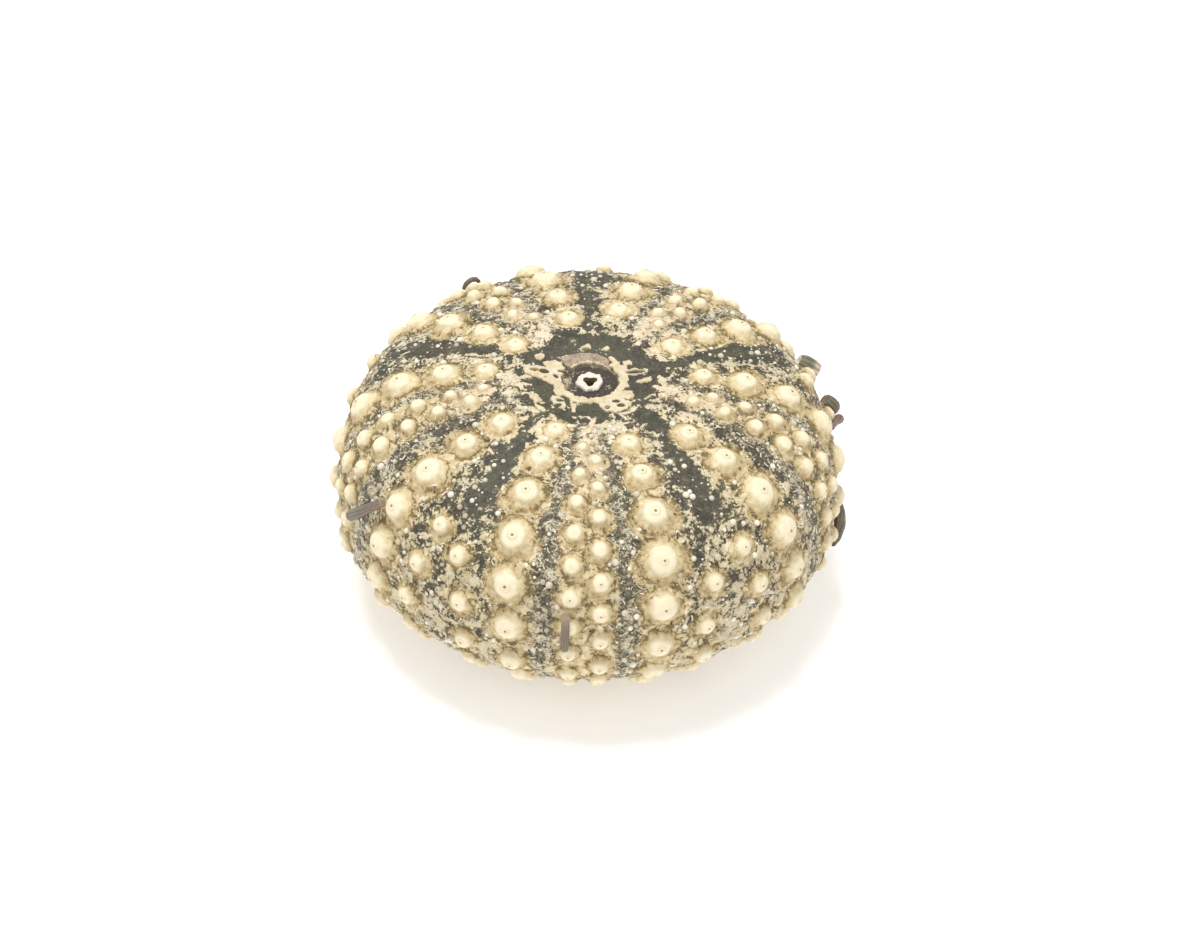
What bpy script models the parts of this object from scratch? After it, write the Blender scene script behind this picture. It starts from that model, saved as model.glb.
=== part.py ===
"""Sea urchin shell: a hollow test with its tubercles, and the broken spines that are still on it."""

import math

import bpy
import numpy as np

# Driving sizes of the shell, in metres. The crest is the smooth curve over the tubercles' tips.
AMBITUS_RADIUS = 0.0280
CROWN_HEIGHT = 0.0179
CROWN_POWER = 3.19
BASE_DEPTH = 0.01176
BASE_POWER = 1.59
MOUTH_CREST_RADIUS = 0.0112
REST_RING_OUTER = 0.0120
REST_RING_INNER = 0.0108
WALL = 0.0016

# How far the plates lie under the crest: by the apical disc and over the flanks, fading at the mouth
RISE_AT_DISC = 0.0003
RISE_ON_FLANK = 0.0009
RISE_GROWS = (0.0060, 0.0170)
RISE_ENDS = (0.0500, 0.0590)

# The apical disc, sunken in the middle of the crown
DISC_DIP = 0.0013
DISC_DIP_RADIUS = 0.0070
VENT_RADIUS = 0.00075
VENT_CORNERS = 3
VENT_CORNER_SHARE = 0.22
ROSETTE_RADIUS = 0.0017
ROSETTE_RISE = 0.0004
MEMBRANE_RADIUS = 0.00295
MEMBRANE_DEPTH = 0.0005
RING_RADIUS = 0.0040
ARM_REACH = 0.0066
ARM_HALF_WIDTH = 0.0013
PLATE_RISE = 0.00035
PLATE_EDGE = 0.0003

# Five ambulacra, each with a column of large tubercles on either side
RAYS = 5
RAY_STEP = 2 * math.pi / RAYS
FRONT = -math.pi / 2
COLUMN_ANGLE = math.radians(19.7)
COLUMN_ANGLE_ARC = 0.0224
COLUMN_NARROWING = math.radians(5.3) / AMBITUS_RADIUS
FIRST_ROW = 0.00965
ROW_STEP = 0.00547
ROW_STEP_ARC = 0.0272
ROW_STEP_FALL = 5.0
LAST_ROW = 0.0565
# How far along its rows each column starts: left and right of each ambulacrum, in rows
ROW_STARTS = ((-0.01, 0.42), (0.96, 0.61), (0.20, 0.55), (0.14, 0.0), (0.40, 0.58))

# Dome radii of the tubercles against the arc length from the apex
PRIMARY_ARCS = (0.009, 0.014, 0.020, 0.0245, 0.031, 0.037, 0.045, 0.057)
PRIMARY_DOMES = (0.00085, 0.00112, 0.00140, 0.00156, 0.00150, 0.00128, 0.00105, 0.00070)
AMBULACRAL_ANGLE = math.radians(3.5)
# The ambulacra at the sides lie a little further back than an even star would put them
AMBULACRUM_SHIFTS = (0.0, math.radians(3.0), 0.0, 0.0, math.radians(-3.0))
AMBULACRUM_RISE = 0.0003
AMBULACRUM_HALF = math.radians(9.0)
AMBULACRUM_FADES = (0.0200, 0.0290)
AMBULACRAL_FIRST = 0.0117
AMBULACRAL_STEP = 0.0037
AMBULACRAL_ARCS = (0.011, 0.018, 0.030, 0.045, 0.057)
AMBULACRAL_DOMES = (0.00055, 0.00080, 0.00098, 0.00085, 0.00060)
SECONDARY_FIRST = 0.0258
SECONDARY_LAG = 0.75
SECONDARY_ARCS = (0.0258, 0.0300, 0.0360, 0.0570)
SECONDARY_ANGLES = (math.radians(3.0), math.radians(5.0), math.radians(8.0), math.radians(8.5))
SECONDARY_DOMES = (0.00092, 0.00105, 0.00108, 0.00066)
LARGEST_DOME = 0.00156
AREOLE_SHARE = 1.9
AREOLE_DEPTH = 0.00018
SKIRT_SHARE = 0.35
RISE_POWER = 0.6

# How finely the shell is shaped before it is thinned to its final faces
STEPS_AROUND = 400
DISC_ARC = 0.0075
DISC_SPACING = 0.00022
FLANK_SPACING = 0.00042
INSIDE_SPACING = 0.0012
LIP_STEPS = 6
FACES_WANTED = 8800
FLAT_BAND = 0.00003
CURVE_POINTS = 4001

# The broken spines' points: azimuth in degrees, arc from the apex, height over the crest, radius
SPINES = {
    "spine_stub_left": (
        (-146.3, 0.0280, 0.00050, 0.00042),
        (-148.6, 0.0292, 0.00053, 0.00052),
        (-151.9, 0.0310, 0.00057, 0.00062),
        (-155.0, 0.0326, 0.00062, 0.00068),
    ),
    "spine_stub_front": (
        (-94.2, 0.0320, 0.00062, 0.00056),
        (-94.2, 0.0327, 0.00055, 0.00044),
        (-94.2, 0.0346, 0.00055, 0.00048),
        (-94.2, 0.0362, 0.00055, 0.00040),
    ),
    "spine_stub_right_upper": (
        (32.8, 0.0318, 0.00030, 0.00080),
        (31.8, 0.0323, 0.00080, 0.00108),
        (30.7, 0.0329, 0.00135, 0.00112),
        (30.0, 0.0333, 0.00175, 0.00096),
    ),
    "spine_stub_right_middle": (
        (17.0, 0.0313, 0.00005, 0.00070),
        (16.8, 0.0320, 0.00028, 0.00095),
        (16.5, 0.0327, 0.00055, 0.00100),
        (16.3, 0.0331, 0.00080, 0.00075),
    ),
    "spine_stub_right_small": (
        (13.2, 0.0331, 0.00120, 0.00045),
        (12.2, 0.0326, 0.00105, 0.00060),
        (9.5, 0.0318, 0.00055, 0.00034),
        (5.5, 0.0309, 0.00005, 0.00016),
    ),
    "spine_stub_right_lower": (
        (1.6, 0.0403, 0.00022, 0.00045),
        (-1.5, 0.0403, 0.00032, 0.00062),
        (-6.0, 0.0402, 0.00042, 0.00066),
        (-9.4, 0.0407, 0.00035, 0.00058),
        (-11.6, 0.0410, 0.00025, 0.00028),
    ),
    "spine_stub_back_left": (
        (124.2, 0.0271, 0.00010, 0.00022),
        (123.5, 0.0266, 0.00050, 0.00028),
        (122.2, 0.0262, 0.00068, 0.00030),
        (120.8, 0.0263, 0.00058, 0.00028),
        (119.8, 0.0267, 0.00020, 0.00022),
    ),
}
SPINE_BEVEL_STEPS = 2
SPINE_POINTS = 9
# The shell's axis stands this far from the middle of the box round shell and spines
AXIS_PLACE = (-0.0004, 0.0006, 0.0)

SHELL_COLOUR = (0.62, 0.56, 0.42)
SPINE_COLOUR = (0.14, 0.11, 0.08)


def clear_scene():
    for obj in list(bpy.data.objects):
        bpy.data.objects.remove(obj, do_unlink=True)


def plain_material(name, colour, roughness):
    material = bpy.data.materials.new(name)
    material.use_nodes = True
    shader = material.node_tree.nodes["Principled BSDF"]
    shader.inputs["Base Color"].default_value = (*colour, 1.0)
    shader.inputs["Roughness"].default_value = roughness
    shader.inputs["Metallic"].default_value = 0.0
    return material


def smooth_step(low, high, value):
    share = np.clip((value - low) / (high - low), 0.0, 1.0)
    return share * share * (3.0 - 2.0 * share)


class Crest:
    """The smooth curve over the tubercles' tips, from the apex to the mouth, by arc length."""

    def __init__(self):
        turn = np.linspace(0.0, math.pi / 2, CURVE_POINTS)
        crown_bend = 2.0 / CROWN_POWER
        base_bend = 2.0 / BASE_POWER
        crown_r = AMBITUS_RADIUS * np.sin(turn) ** crown_bend
        crown_z = BASE_DEPTH + CROWN_HEIGHT * np.clip(np.cos(turn), 0, 1) ** crown_bend
        reach = AMBITUS_RADIUS - MOUTH_CREST_RADIUS
        base_r = MOUTH_CREST_RADIUS + reach * np.clip(np.cos(turn), 0, 1) ** base_bend
        base_z = BASE_DEPTH * (1.0 - np.sin(turn) ** base_bend)
        radius = np.concatenate([crown_r, base_r[1:]])
        height = np.concatenate([crown_z, base_z[1:]])
        height = height - DISC_DIP * np.exp(-((radius / DISC_DIP_RADIUS) ** 2))
        steps = np.hypot(np.diff(radius), np.diff(height))
        self.arc = np.concatenate([[0.0], np.cumsum(steps)])
        self.radius = radius
        self.height = height
        slope_r = np.gradient(radius, self.arc)
        slope_z = np.gradient(height, self.arc)
        length = np.hypot(slope_r, slope_z)
        self.out_r = -slope_z / length
        self.out_z = slope_r / length

    def at(self, arc, lift=0.0):
        """(radius, height) at an arc length, moved out of the shell by lift."""
        radius = np.interp(arc, self.arc, self.radius)
        height = np.interp(arc, self.arc, self.height)
        out_r = np.interp(arc, self.arc, self.out_r)
        out_z = np.interp(arc, self.arc, self.out_z)
        return radius + lift * out_r, height + lift * out_z

    def place(self, azimuth, arc, lift=0.0):
        """The point at an azimuth, an arc length from the apex and a height over the crest."""
        radius, height = self.at(arc, lift)
        return np.array([radius * np.cos(azimuth), radius * np.sin(azimuth), height])

    def arc_at_radius(self, radius, from_base):
        if from_base:
            return np.interp(-radius, -self.radius[CURVE_POINTS:], self.arc[CURVE_POINTS:])
        return np.interp(radius, self.radius[:CURVE_POINTS], self.arc[:CURVE_POINTS])


def rise_at(arc):
    """How far the plates lie under the crest at an arc length."""
    grown = RISE_AT_DISC + (RISE_ON_FLANK - RISE_AT_DISC) * smooth_step(*RISE_GROWS, arc)
    return grown * (1.0 - smooth_step(*RISE_ENDS, arc))


def wall_outline(crest):
    """The closed section of the wall: down the outside, round the lip, and back up inside."""
    start = crest.arc_at_radius(VENT_RADIUS, False)
    end = crest.arc_at_radius(REST_RING_OUTER, True)
    disc = np.arange(start, DISC_ARC, DISC_SPACING)
    flank = np.arange(DISC_ARC, end - FLANK_SPACING / 2, FLANK_SPACING)
    outer_arc = np.concatenate([disc, flank])
    outer = np.stack(crest.at(outer_arc, -rise_at(outer_arc)), 1)
    turn = np.linspace(0.0, math.pi, LIP_STEPS + 1)
    lip_r = REST_RING_INNER - WALL / 2 * np.sin(turn)
    lip_z = WALL / 2 * (1.0 - np.cos(turn))
    lip = np.stack([lip_r, lip_z], 1)
    inner_arc = np.arange(end, start + INSIDE_SPACING, -INSIDE_SPACING)
    inner = np.stack(crest.at(inner_arc, -rise_at(inner_arc) - WALL), 1)
    vent_floor = [VENT_RADIUS, outer[0, 1] - WALL]
    rest_edge = [[REST_RING_OUTER, 0.0]]
    outline = np.concatenate([outer, rest_edge, lip, inner, [vent_floor]])
    arcs = np.concatenate([outer_arc, np.full(len(outline) - len(outer_arc), -1.0)])
    return outline, arcs


def turned(name, outline, arcs, collection):
    """A closed outline turned about Z, which keeps each point's arc length as an attribute."""
    mesh = bpy.data.meshes.new(name)
    count = len(outline)
    points = [(radius, 0.0, height) for radius, height in outline]
    edges = [(i, (i + 1) % count) for i in range(count)]
    mesh.from_pydata(points, edges, [])
    mesh.attributes.new("arc", "FLOAT", "POINT").data.foreach_set("value", arcs)
    obj = bpy.data.objects.new(name, mesh)
    collection.objects.link(obj)
    screw = obj.modifiers.new("turn", "SCREW")
    screw.axis = "Z"
    screw.steps = STEPS_AROUND
    screw.render_steps = STEPS_AROUND
    screw.use_merge_vertices = False
    return obj


def apply_modifiers(obj):
    """Replaces the object's mesh by what its modifiers make of it."""
    graph = bpy.context.evaluated_depsgraph_get()
    made = bpy.data.meshes.new_from_object(obj.evaluated_get(graph))
    before = obj.data
    obj.modifiers.clear()
    obj.data = made
    bpy.data.meshes.remove(before)


def column_arcs(start):
    """Arc lengths of a column's tubercles. The rows are widest apart at the ambitus."""
    rows = [FIRST_ROW]
    while rows[-1] < LAST_ROW + ROW_STEP:
        ahead = rows[-1] + ROW_STEP / 2 - ROW_STEP_ARC
        rows.append(rows[-1] + max(ROW_STEP - ROW_STEP_FALL * ahead * ahead, ROW_STEP / 3))
    wanted = np.arange(start % 1.0 if start > 0.05 else start, len(rows) - 1)
    arcs = np.interp(wanted, range(len(rows)), rows)
    return arcs[arcs < LAST_ROW]


def tubercles():
    """(azimuth, arc, dome radius) of every tubercle, largest kind first."""
    found = []
    for ray in range(RAYS):
        middle = FRONT + ray * RAY_STEP
        for side, start in zip((-1, 1), ROW_STARTS[ray]):
            for arc in column_arcs(start):
                angle = COLUMN_ANGLE - COLUMN_NARROWING * (arc - COLUMN_ANGLE_ARC)
                dome = np.interp(arc, PRIMARY_ARCS, PRIMARY_DOMES)
                found.append((middle + side * angle, arc, dome))
            for arc in column_arcs((start + SECONDARY_LAG) % 1.0):
                if arc >= SECONDARY_FIRST:
                    angle = np.interp(arc, SECONDARY_ARCS, SECONDARY_ANGLES)
                    dome = np.interp(arc, SECONDARY_ARCS, SECONDARY_DOMES)
                    found.append((middle + side * (RAY_STEP / 2 - angle), arc, dome))
            first = AMBULACRAL_FIRST + (side + 1) * AMBULACRAL_STEP / 4
            for arc in np.arange(first, LAST_ROW, AMBULACRAL_STEP):
                dome = np.interp(arc, AMBULACRAL_ARCS, AMBULACRAL_DOMES)
                azimuth = middle + AMBULACRUM_SHIFTS[ray] + side * AMBULACRAL_ANGLE
                found.append((azimuth, arc, dome))
    return found


def tubercle_relief(points, crest):
    """Height of the domes, their skirts and the shallow moats round them, at each point."""
    raised = np.zeros(len(points))
    moat = np.zeros(len(points))
    for azimuth, arc, dome in tubercles():
        centre = crest.place(azimuth, arc, -rise_at(arc))
        gap = np.linalg.norm(points - centre, axis=1)
        near = gap < dome * AREOLE_SHARE * 1.2
        share = gap[near] / dome
        top = rise_at(arc) * (dome / LARGEST_DOME) ** RISE_POWER
        cap = np.sqrt(np.clip(1.0 - share * share, 0.0, 1.0))
        skirt = 1.0 - smooth_step(0.6, AREOLE_SHARE, share)
        raised[near] = np.maximum(raised[near], top * ((1 - SKIRT_SHARE) * cap + SKIRT_SHARE * skirt))
        ring = np.exp(-(((share - AREOLE_SHARE * 0.85) / 0.3) ** 2))
        moat[near] = np.maximum(moat[near], ring * AREOLE_DEPTH * top / RISE_ON_FLANK)
    return np.where(raised > moat, raised, raised - moat)


def ambulacrum_relief(azimuth, arc):
    """Height of the low ridges along which the ambulacra run down from the disc."""
    ridge = np.zeros(len(arc))
    for ray in range(RAYS):
        turn = azimuth - FRONT - ray * RAY_STEP - AMBULACRUM_SHIFTS[ray]
        away = np.abs(np.arctan2(np.sin(turn), np.cos(turn)))
        ridge = np.maximum(ridge, 1.0 - smooth_step(0.0, AMBULACRUM_HALF, away))
    starts = smooth_step(ARM_REACH, 2 * ARM_REACH, arc)
    return AMBULACRUM_RISE * ridge * starts * (1.0 - smooth_step(*AMBULACRUM_FADES, arc))


def disc_relief(distance, azimuth):
    """Height of the apical disc's plates, the sunken membrane and the rosette in its middle."""
    plates = 1.0 - smooth_step(RING_RADIUS, RING_RADIUS + PLATE_EDGE, distance)
    for ray in range(RAYS):
        arm = azimuth - FRONT - (ray + 0.5) * RAY_STEP
        along = distance * np.cos(arm)
        across = np.abs(distance * np.sin(arm))
        width = ARM_HALF_WIDTH * (1.0 - 0.35 * smooth_step(RING_RADIUS, ARM_REACH, along))
        inside = 1.0 - smooth_step(width - PLATE_EDGE, width, across)
        inside *= 1.0 - smooth_step(ARM_REACH - PLATE_EDGE, ARM_REACH, along)
        plates = np.maximum(plates, np.where(along > 0, inside, 0.0))
    sunken = 1.0 - smooth_step(MEMBRANE_RADIUS - PLATE_EDGE, MEMBRANE_RADIUS, distance)
    middle = (VENT_RADIUS + ROSETTE_RADIUS) / 2
    half = (ROSETTE_RADIUS - VENT_RADIUS) / 2
    rosette = np.clip(1.0 - ((distance - middle) / half) ** 2, 0.0, 1.0)
    return PLATE_RISE * plates * (1 - sunken) - MEMBRANE_DEPTH * sunken + ROSETTE_RISE * rosette


def carve_shell(obj, crest):
    """Moves the outside's points out to their relief and gives the vent its corners."""
    mesh = obj.data
    count = len(mesh.vertices)
    points = np.empty(count * 3)
    mesh.vertices.foreach_get("co", points)
    points = points.reshape(-1, 3)
    normals = np.empty(count * 3)
    mesh.vertex_normals.foreach_get("vector", normals)
    normals = normals.reshape(-1, 3)
    arc = np.empty(count)
    mesh.attributes["arc"].data.foreach_get("value", arc)
    outside = arc >= 0
    distance = np.hypot(points[:, 0], points[:, 1])
    azimuth = np.arctan2(points[:, 1], points[:, 0])
    relief = np.zeros(count)
    relief[outside] = tubercle_relief(points[outside], crest)
    relief[outside] += disc_relief(distance[outside], azimuth[outside])
    relief[outside] += ambulacrum_relief(azimuth[outside], arc[outside])
    points += normals * relief[:, None]
    near_vent = 1.0 - smooth_step(VENT_RADIUS, ROSETTE_RADIUS, distance)
    corners = np.cos(VENT_CORNERS * (azimuth - FRONT))
    points[:, :2] *= (1.0 + VENT_CORNER_SHARE * corners * near_vent)[:, None]
    points[:, 2] = np.maximum(points[:, 2], 0.0)
    mesh.vertices.foreach_set("co", points.ravel())
    mesh.attributes.remove(mesh.attributes["arc"])
    mesh.update()


def thin_faces(obj):
    """Leaves about the wanted number of triangles, most of them on the tubercles."""
    obj.data.calc_loop_triangles()
    decimate = obj.modifiers.new("thin", "DECIMATE")
    decimate.ratio = FACES_WANTED / len(obj.data.loop_triangles)
    decimate.use_collapse_triangulate = True
    apply_modifiers(obj)
    for vertex in obj.data.vertices:
        if vertex.co.z < FLAT_BAND:
            vertex.co.z = 0.0


def make_test(crest, collection, material):
    obj = turned("test", *wall_outline(crest), collection)
    apply_modifiers(obj)
    carve_shell(obj, crest)
    thin_faces(obj)
    obj.data.shade_smooth()
    obj.data.materials.append(material)
    return obj


def make_spine(name, marks, crest, collection, material):
    """A broken spine: a round rod through its points, with its own radius at each."""
    angle, arc, lift, radius = np.array(marks).T
    azimuth = np.radians(angle)
    through = crest.place(azimuth, arc, lift).T
    marks_at = np.linspace(0.0, 1.0, len(marks))
    read_at = np.linspace(0.0, 1.0, SPINE_POINTS)
    curve = bpy.data.curves.new(name, "CURVE")
    curve.dimensions = "3D"
    curve.bevel_depth = 1.0
    curve.bevel_resolution = SPINE_BEVEL_STEPS
    curve.use_fill_caps = True
    spline = curve.splines.new("POLY")
    spline.points.add(SPINE_POINTS - 1)
    for index, share in enumerate(read_at):
        place = [np.interp(share, marks_at, through[:, axis]) for axis in range(3)]
        spline.points[index].co = (*place, 1.0)
        spline.points[index].radius = np.interp(share, marks_at, radius)
    obj = bpy.data.objects.new(name, curve)
    obj.data.materials.append(material)
    collection.objects.link(obj)
    return obj


def main():
    clear_scene()
    collection = bpy.data.collections.new("sea_urchin_shell")
    bpy.context.scene.collection.children.link(collection)
    crest = Crest()
    make_test(crest, collection, plain_material("shell", SHELL_COLOUR, 0.75))
    spine_material = plain_material("spine", SPINE_COLOUR, 0.6)
    for name, marks in SPINES.items():
        make_spine(name, marks, crest, collection, spine_material)
    for obj in collection.objects:
        obj.location = AXIS_PLACE


main()
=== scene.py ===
"""Sea urchin shell: the finish of a dried, hollow test and of the broken spines that are still on it."""

import math
from functools import reduce

import bpy
import numpy as np
from mathutils import Matrix, Vector


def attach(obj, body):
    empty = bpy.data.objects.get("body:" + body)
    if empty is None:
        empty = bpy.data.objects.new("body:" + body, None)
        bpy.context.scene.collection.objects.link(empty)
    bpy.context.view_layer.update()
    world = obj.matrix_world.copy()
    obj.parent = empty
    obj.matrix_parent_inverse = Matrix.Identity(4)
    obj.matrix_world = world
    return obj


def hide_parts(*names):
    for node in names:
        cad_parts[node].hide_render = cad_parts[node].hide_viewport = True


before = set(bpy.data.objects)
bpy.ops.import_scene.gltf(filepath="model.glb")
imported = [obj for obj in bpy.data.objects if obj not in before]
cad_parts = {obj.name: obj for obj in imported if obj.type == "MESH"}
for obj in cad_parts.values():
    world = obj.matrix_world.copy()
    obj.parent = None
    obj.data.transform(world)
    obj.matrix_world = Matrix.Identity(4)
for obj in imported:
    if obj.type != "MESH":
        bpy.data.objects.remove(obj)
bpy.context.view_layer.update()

bl_info = {
    "name": "Sea Urchin Shell",
    "version": (1, 0, 0),
    "blender": (4, 5, 0),
    "location": "View3D > Sidebar > Urchin",
    "description": "Builds a dried sea urchin shell with tubercles, granules, apical disc and spine stubs",
    "category": "Add Mesh",
}

MM = 0.001

# The shell's own sizes, in metres, as its solid has them
AMBITUS_RADIUS = 0.0280
CROWN_HEIGHT = 0.0179
CROWN_POWER = 3.19
BASE_DEPTH = 0.01176
BASE_POWER = 1.59
MOUTH_CREST_RADIUS = 0.0112
REST_RING_OUTER = 0.0120
REST_RING_INNER = 0.0108
WALL = 0.0016
RISE_AT_DISC = 0.0003
RISE_ON_FLANK = 0.0009
RISE_GROWS = (0.0060, 0.0170)
RISE_ENDS = (0.0500, 0.0590)
DISC_DIP = 0.0013
DISC_DIP_RADIUS = 0.0070
VENT_RADIUS = 0.00075
VENT_CORNERS = 3
VENT_CORNER_SHARE = 0.22
ROSETTE_RADIUS = 0.0017
MEMBRANE_DEPTH = 0.0005
MEMBRANE_EDGE = (0.0034, 0.0028)
AXIS_PLACE = (-0.0004, 0.0006, 0.0)

# Rays and their columns of tubercles
RAYS = 5
RAY_STEP = 2 * math.pi / RAYS
FRONT = -math.pi / 2
RAY_MIDDLES = [FRONT + ray * RAY_STEP for ray in range(RAYS)]
COLUMN_ANGLE = math.radians(19.7)
COLUMN_ANGLE_ARC = 0.0224
COLUMN_NARROWING = math.radians(5.3) / AMBITUS_RADIUS
FIRST_ROW = 0.00965
ROW_STEP = 0.00547
ROW_STEP_ARC = 0.0272
ROW_STEP_FALL = 5.0
LAST_ROW = 0.0565
ROW_STARTS = ((-0.01, 0.42), (0.96, 0.61), (0.20, 0.55), (0.14, 0.0), (0.40, 0.58))
PRIMARY_ARCS = (0.009, 0.014, 0.020, 0.0245, 0.031, 0.037, 0.045, 0.057)
PRIMARY_DOMES = (0.00085, 0.00112, 0.00140, 0.00156, 0.00150, 0.00128, 0.00105, 0.00070)
AMBULACRAL_ANGLE = math.radians(3.5)
AMBULACRUM_SHIFTS = (0.0, math.radians(3.0), 0.0, 0.0, math.radians(-3.0))
AMBULACRUM_RISE = 0.0003
AMBULACRUM_HALF = math.radians(9.0)
AMBULACRUM_FADES = (0.0200, 0.0290)
AMBULACRAL_FIRST = 0.0117
AMBULACRAL_STEP = 0.0037
AMBULACRAL_ARCS = (0.011, 0.018, 0.030, 0.045, 0.057)
AMBULACRAL_DOMES = (0.00055, 0.00080, 0.00098, 0.00085, 0.00060)
SECONDARY_FIRST = 0.0258
SECONDARY_LAG = 0.75
SECONDARY_ARCS = (0.0258, 0.0300, 0.0360, 0.0570)
SECONDARY_ANGLES = (math.radians(3.0), math.radians(5.0), math.radians(8.0), math.radians(8.5))
SECONDARY_DOMES = (0.00092, 0.00105, 0.00108, 0.00066)
LARGEST_DOME = 0.00156
AREOLE_SHARE = 1.9
AREOLE_DEPTH = 0.00018
BALL_POWER = 2.2
BALL_SHARE = 0.85
SKIRT_SHARE = 0.38
RISE_POWER = 0.6
# How many dome radii the crust reaches round each kind of tubercle
REACHES = {"Primary": 1.62, "Secondary": 1.45, "Ambulacral": 1.50}
CRUST_GRAIN = 0.00030
# The ringed tip of a tubercle as (radius, height) in dome radii, and the radius of its pit, where shade is
# painted as a dark dot
MAMELON_PROFILE = (
    (0, -0.30), (0.42, -0.30), (0.40, -0.03), (0.31, 0.05), (0.15, 0.05), (0.09, 0.02), (0, 0.01)
)
MAMELON_STEPS = 10
PIT_RADIUS = 0.12
# Least distances between granules and between threads, and the radii of the largest ones
GRANULE_SPACING = 0.00045
GRANULE_LARGEST = 0.00042
THREAD_SPACING = 0.00034
THREAD_LARGEST = 0.00085

# Naked dark bands between the rays: azimuth on the flank, lean near the disc, both in degrees
BANDS = ((-123.5, -4.5), (-53.0, 8.5), (22.5, -8.0), (90.5, 1.0), (160.5, -7.5))
BAND_LEANS = (0.0080, 0.0180)
BAND_EDGE = (0.8, 2.2)
BAND_ENDS = (0.023, 0.028)
# Arc lengths over which the rays' ridges and the rough crust begin below the disc
RIDGE_STARTS = (0.0066, 0.0132)
CRUST_STARTS = (0.007, 0.010)

# The apical disc in mm: its ring's middle and half width, and half the side of the square it lies in
RING_MIDDLE = 3.62
RING_HALF = 0.42
DISC_HALF = 7.6
DISC_STEPS = 280
DISC_FLOOR = -0.65
# Plates and lobes that make the ring a star: x, y, half length, half width in mm, turn in degrees
PLATES = (
    (-5.45, 0.75, 1.55, 0.85, 0.0),
    (-3.90, 1.90, 1.00, 0.72, 0.0),
    (-4.05, -0.35, 0.78, 0.62, 0.0),
    (-3.25, -2.20, 0.62, 0.70, 0.0),
    (-5.50, 3.10, 0.44, 0.30, 40.0),
    (4.80, 1.10, 1.22, 0.40, 0.0),
    (3.40, 1.60, 0.58, 0.60, 0.0),
    (3.70, -1.05, 0.40, 0.32, 0.0),
    (3.80, -2.75, 0.78, 0.78, 0.0),
    (2.62, -4.35, 1.60, 1.36, 0.0),
    (-3.28, -4.35, 0.62, 1.12, 25.0),
    (-1.70, -4.30, 0.30, 0.85, 0.0),
    (-0.48, 4.98, 0.42, 0.32, 0.0),
    (1.75, 4.85, 0.28, 0.20, 20.0),
    (4.05, 2.75, 0.34, 0.14, 0.0),
    (5.90, -0.40, 0.55, 0.34, 10.0),
    (-5.70, -3.90, 0.45, 0.70, 20.0),
    (-5.30, -5.50, 0.22, 0.55, 35.0),
)
# The sieve plate at the back, a brownish-pink crescent
SIEVE_PLATE = (-0.45, 2.90, 2.65, 1.45, 0.0)
# Pores of the disc: as the plates, and then 1 for a dark one painted with shade and less for one with dried
# skin
PORES = (
    (-5.98, 0.90, 0.42, 0.24, 0.0, 0.25),
    (-4.97, 0.85, 0.48, 0.34, 0.0, 1.0),
    (4.87, 1.10, 0.88, 0.25, 0.0, 0.75),
    (-3.15, -3.95, 0.38, 0.29, 0.0, 1.0),
    (-3.50, -4.95, 0.47, 0.30, 35.0, 1.0),
    (-1.60, -4.15, 0.18, 0.22, 0.0, 0.45),
    (1.90, -4.95, 0.24, 0.32, 0.0, 0.45),
    (2.80, -3.80, 0.38, 0.28, 0.0, 1.0),
    (3.33, -4.60, 0.37, 0.33, -20.0, 0.85),
    (-3.05, 1.20, 0.38, 0.16, 0.0, 1.0),
    (-3.70, 0.30, 0.19, 0.28, 30.0, 0.9),
    (-0.48, 4.74, 0.36, 0.20, 0.0, 0.7),
)

# How finely the wall is shaped before it is thinned
TURN_STEPS = 900
DISC_ARC = 0.0085
DISC_SPACING = 0.00009
CROWN_ARC = 0.0420
CROWN_SPACING = 0.00017
BASE_SPACING = 0.00026
INSIDE_SPACING = 0.0012
LIP_STEPS = 12
SHELL_TRIANGLES = 196000
CURVE_POINTS = 4001

# The broken spines' points: azimuth in degrees, arc from the apex, height over the crest, radius
SPINES = {
    "spine_stub_left": (
        (-146.3, 0.0280, 0.00050, 0.00042),
        (-148.6, 0.0292, 0.00053, 0.00052),
        (-151.9, 0.0310, 0.00057, 0.00062),
        (-155.0, 0.0326, 0.00062, 0.00068),
    ),
    "spine_stub_front": (
        (-94.2, 0.0320, 0.00062, 0.00056),
        (-94.2, 0.0327, 0.00055, 0.00044),
        (-94.2, 0.0346, 0.00055, 0.00048),
        (-94.2, 0.0362, 0.00055, 0.00040),
    ),
    "spine_stub_right_upper": (
        (32.8, 0.0318, 0.00030, 0.00080),
        (31.8, 0.0323, 0.00080, 0.00108),
        (30.7, 0.0329, 0.00135, 0.00112),
        (30.0, 0.0333, 0.00175, 0.00096),
    ),
    "spine_stub_right_middle": (
        (17.0, 0.0313, 0.00005, 0.00070),
        (16.8, 0.0320, 0.00028, 0.00095),
        (16.5, 0.0327, 0.00055, 0.00100),
        (16.3, 0.0331, 0.00080, 0.00075),
    ),
    "spine_stub_right_small": (
        (13.2, 0.0331, 0.00120, 0.00045),
        (12.2, 0.0326, 0.00105, 0.00060),
        (9.5, 0.0318, 0.00055, 0.00034),
        (5.5, 0.0309, 0.00005, 0.00016),
    ),
    "spine_stub_right_lower": (
        (1.6, 0.0403, 0.00022, 0.00045),
        (-1.5, 0.0403, 0.00032, 0.00062),
        (-6.0, 0.0402, 0.00042, 0.00066),
        (-9.4, 0.0407, 0.00035, 0.00058),
        (-11.6, 0.0410, 0.00025, 0.00028),
    ),
    "spine_stub_back_left": (
        (124.2, 0.0271, 0.00010, 0.00022),
        (123.5, 0.0266, 0.00050, 0.00028),
        (122.2, 0.0262, 0.00068, 0.00030),
        (120.8, 0.0263, 0.00058, 0.00028),
        (119.8, 0.0267, 0.00020, 0.00022),
    ),
}
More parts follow.
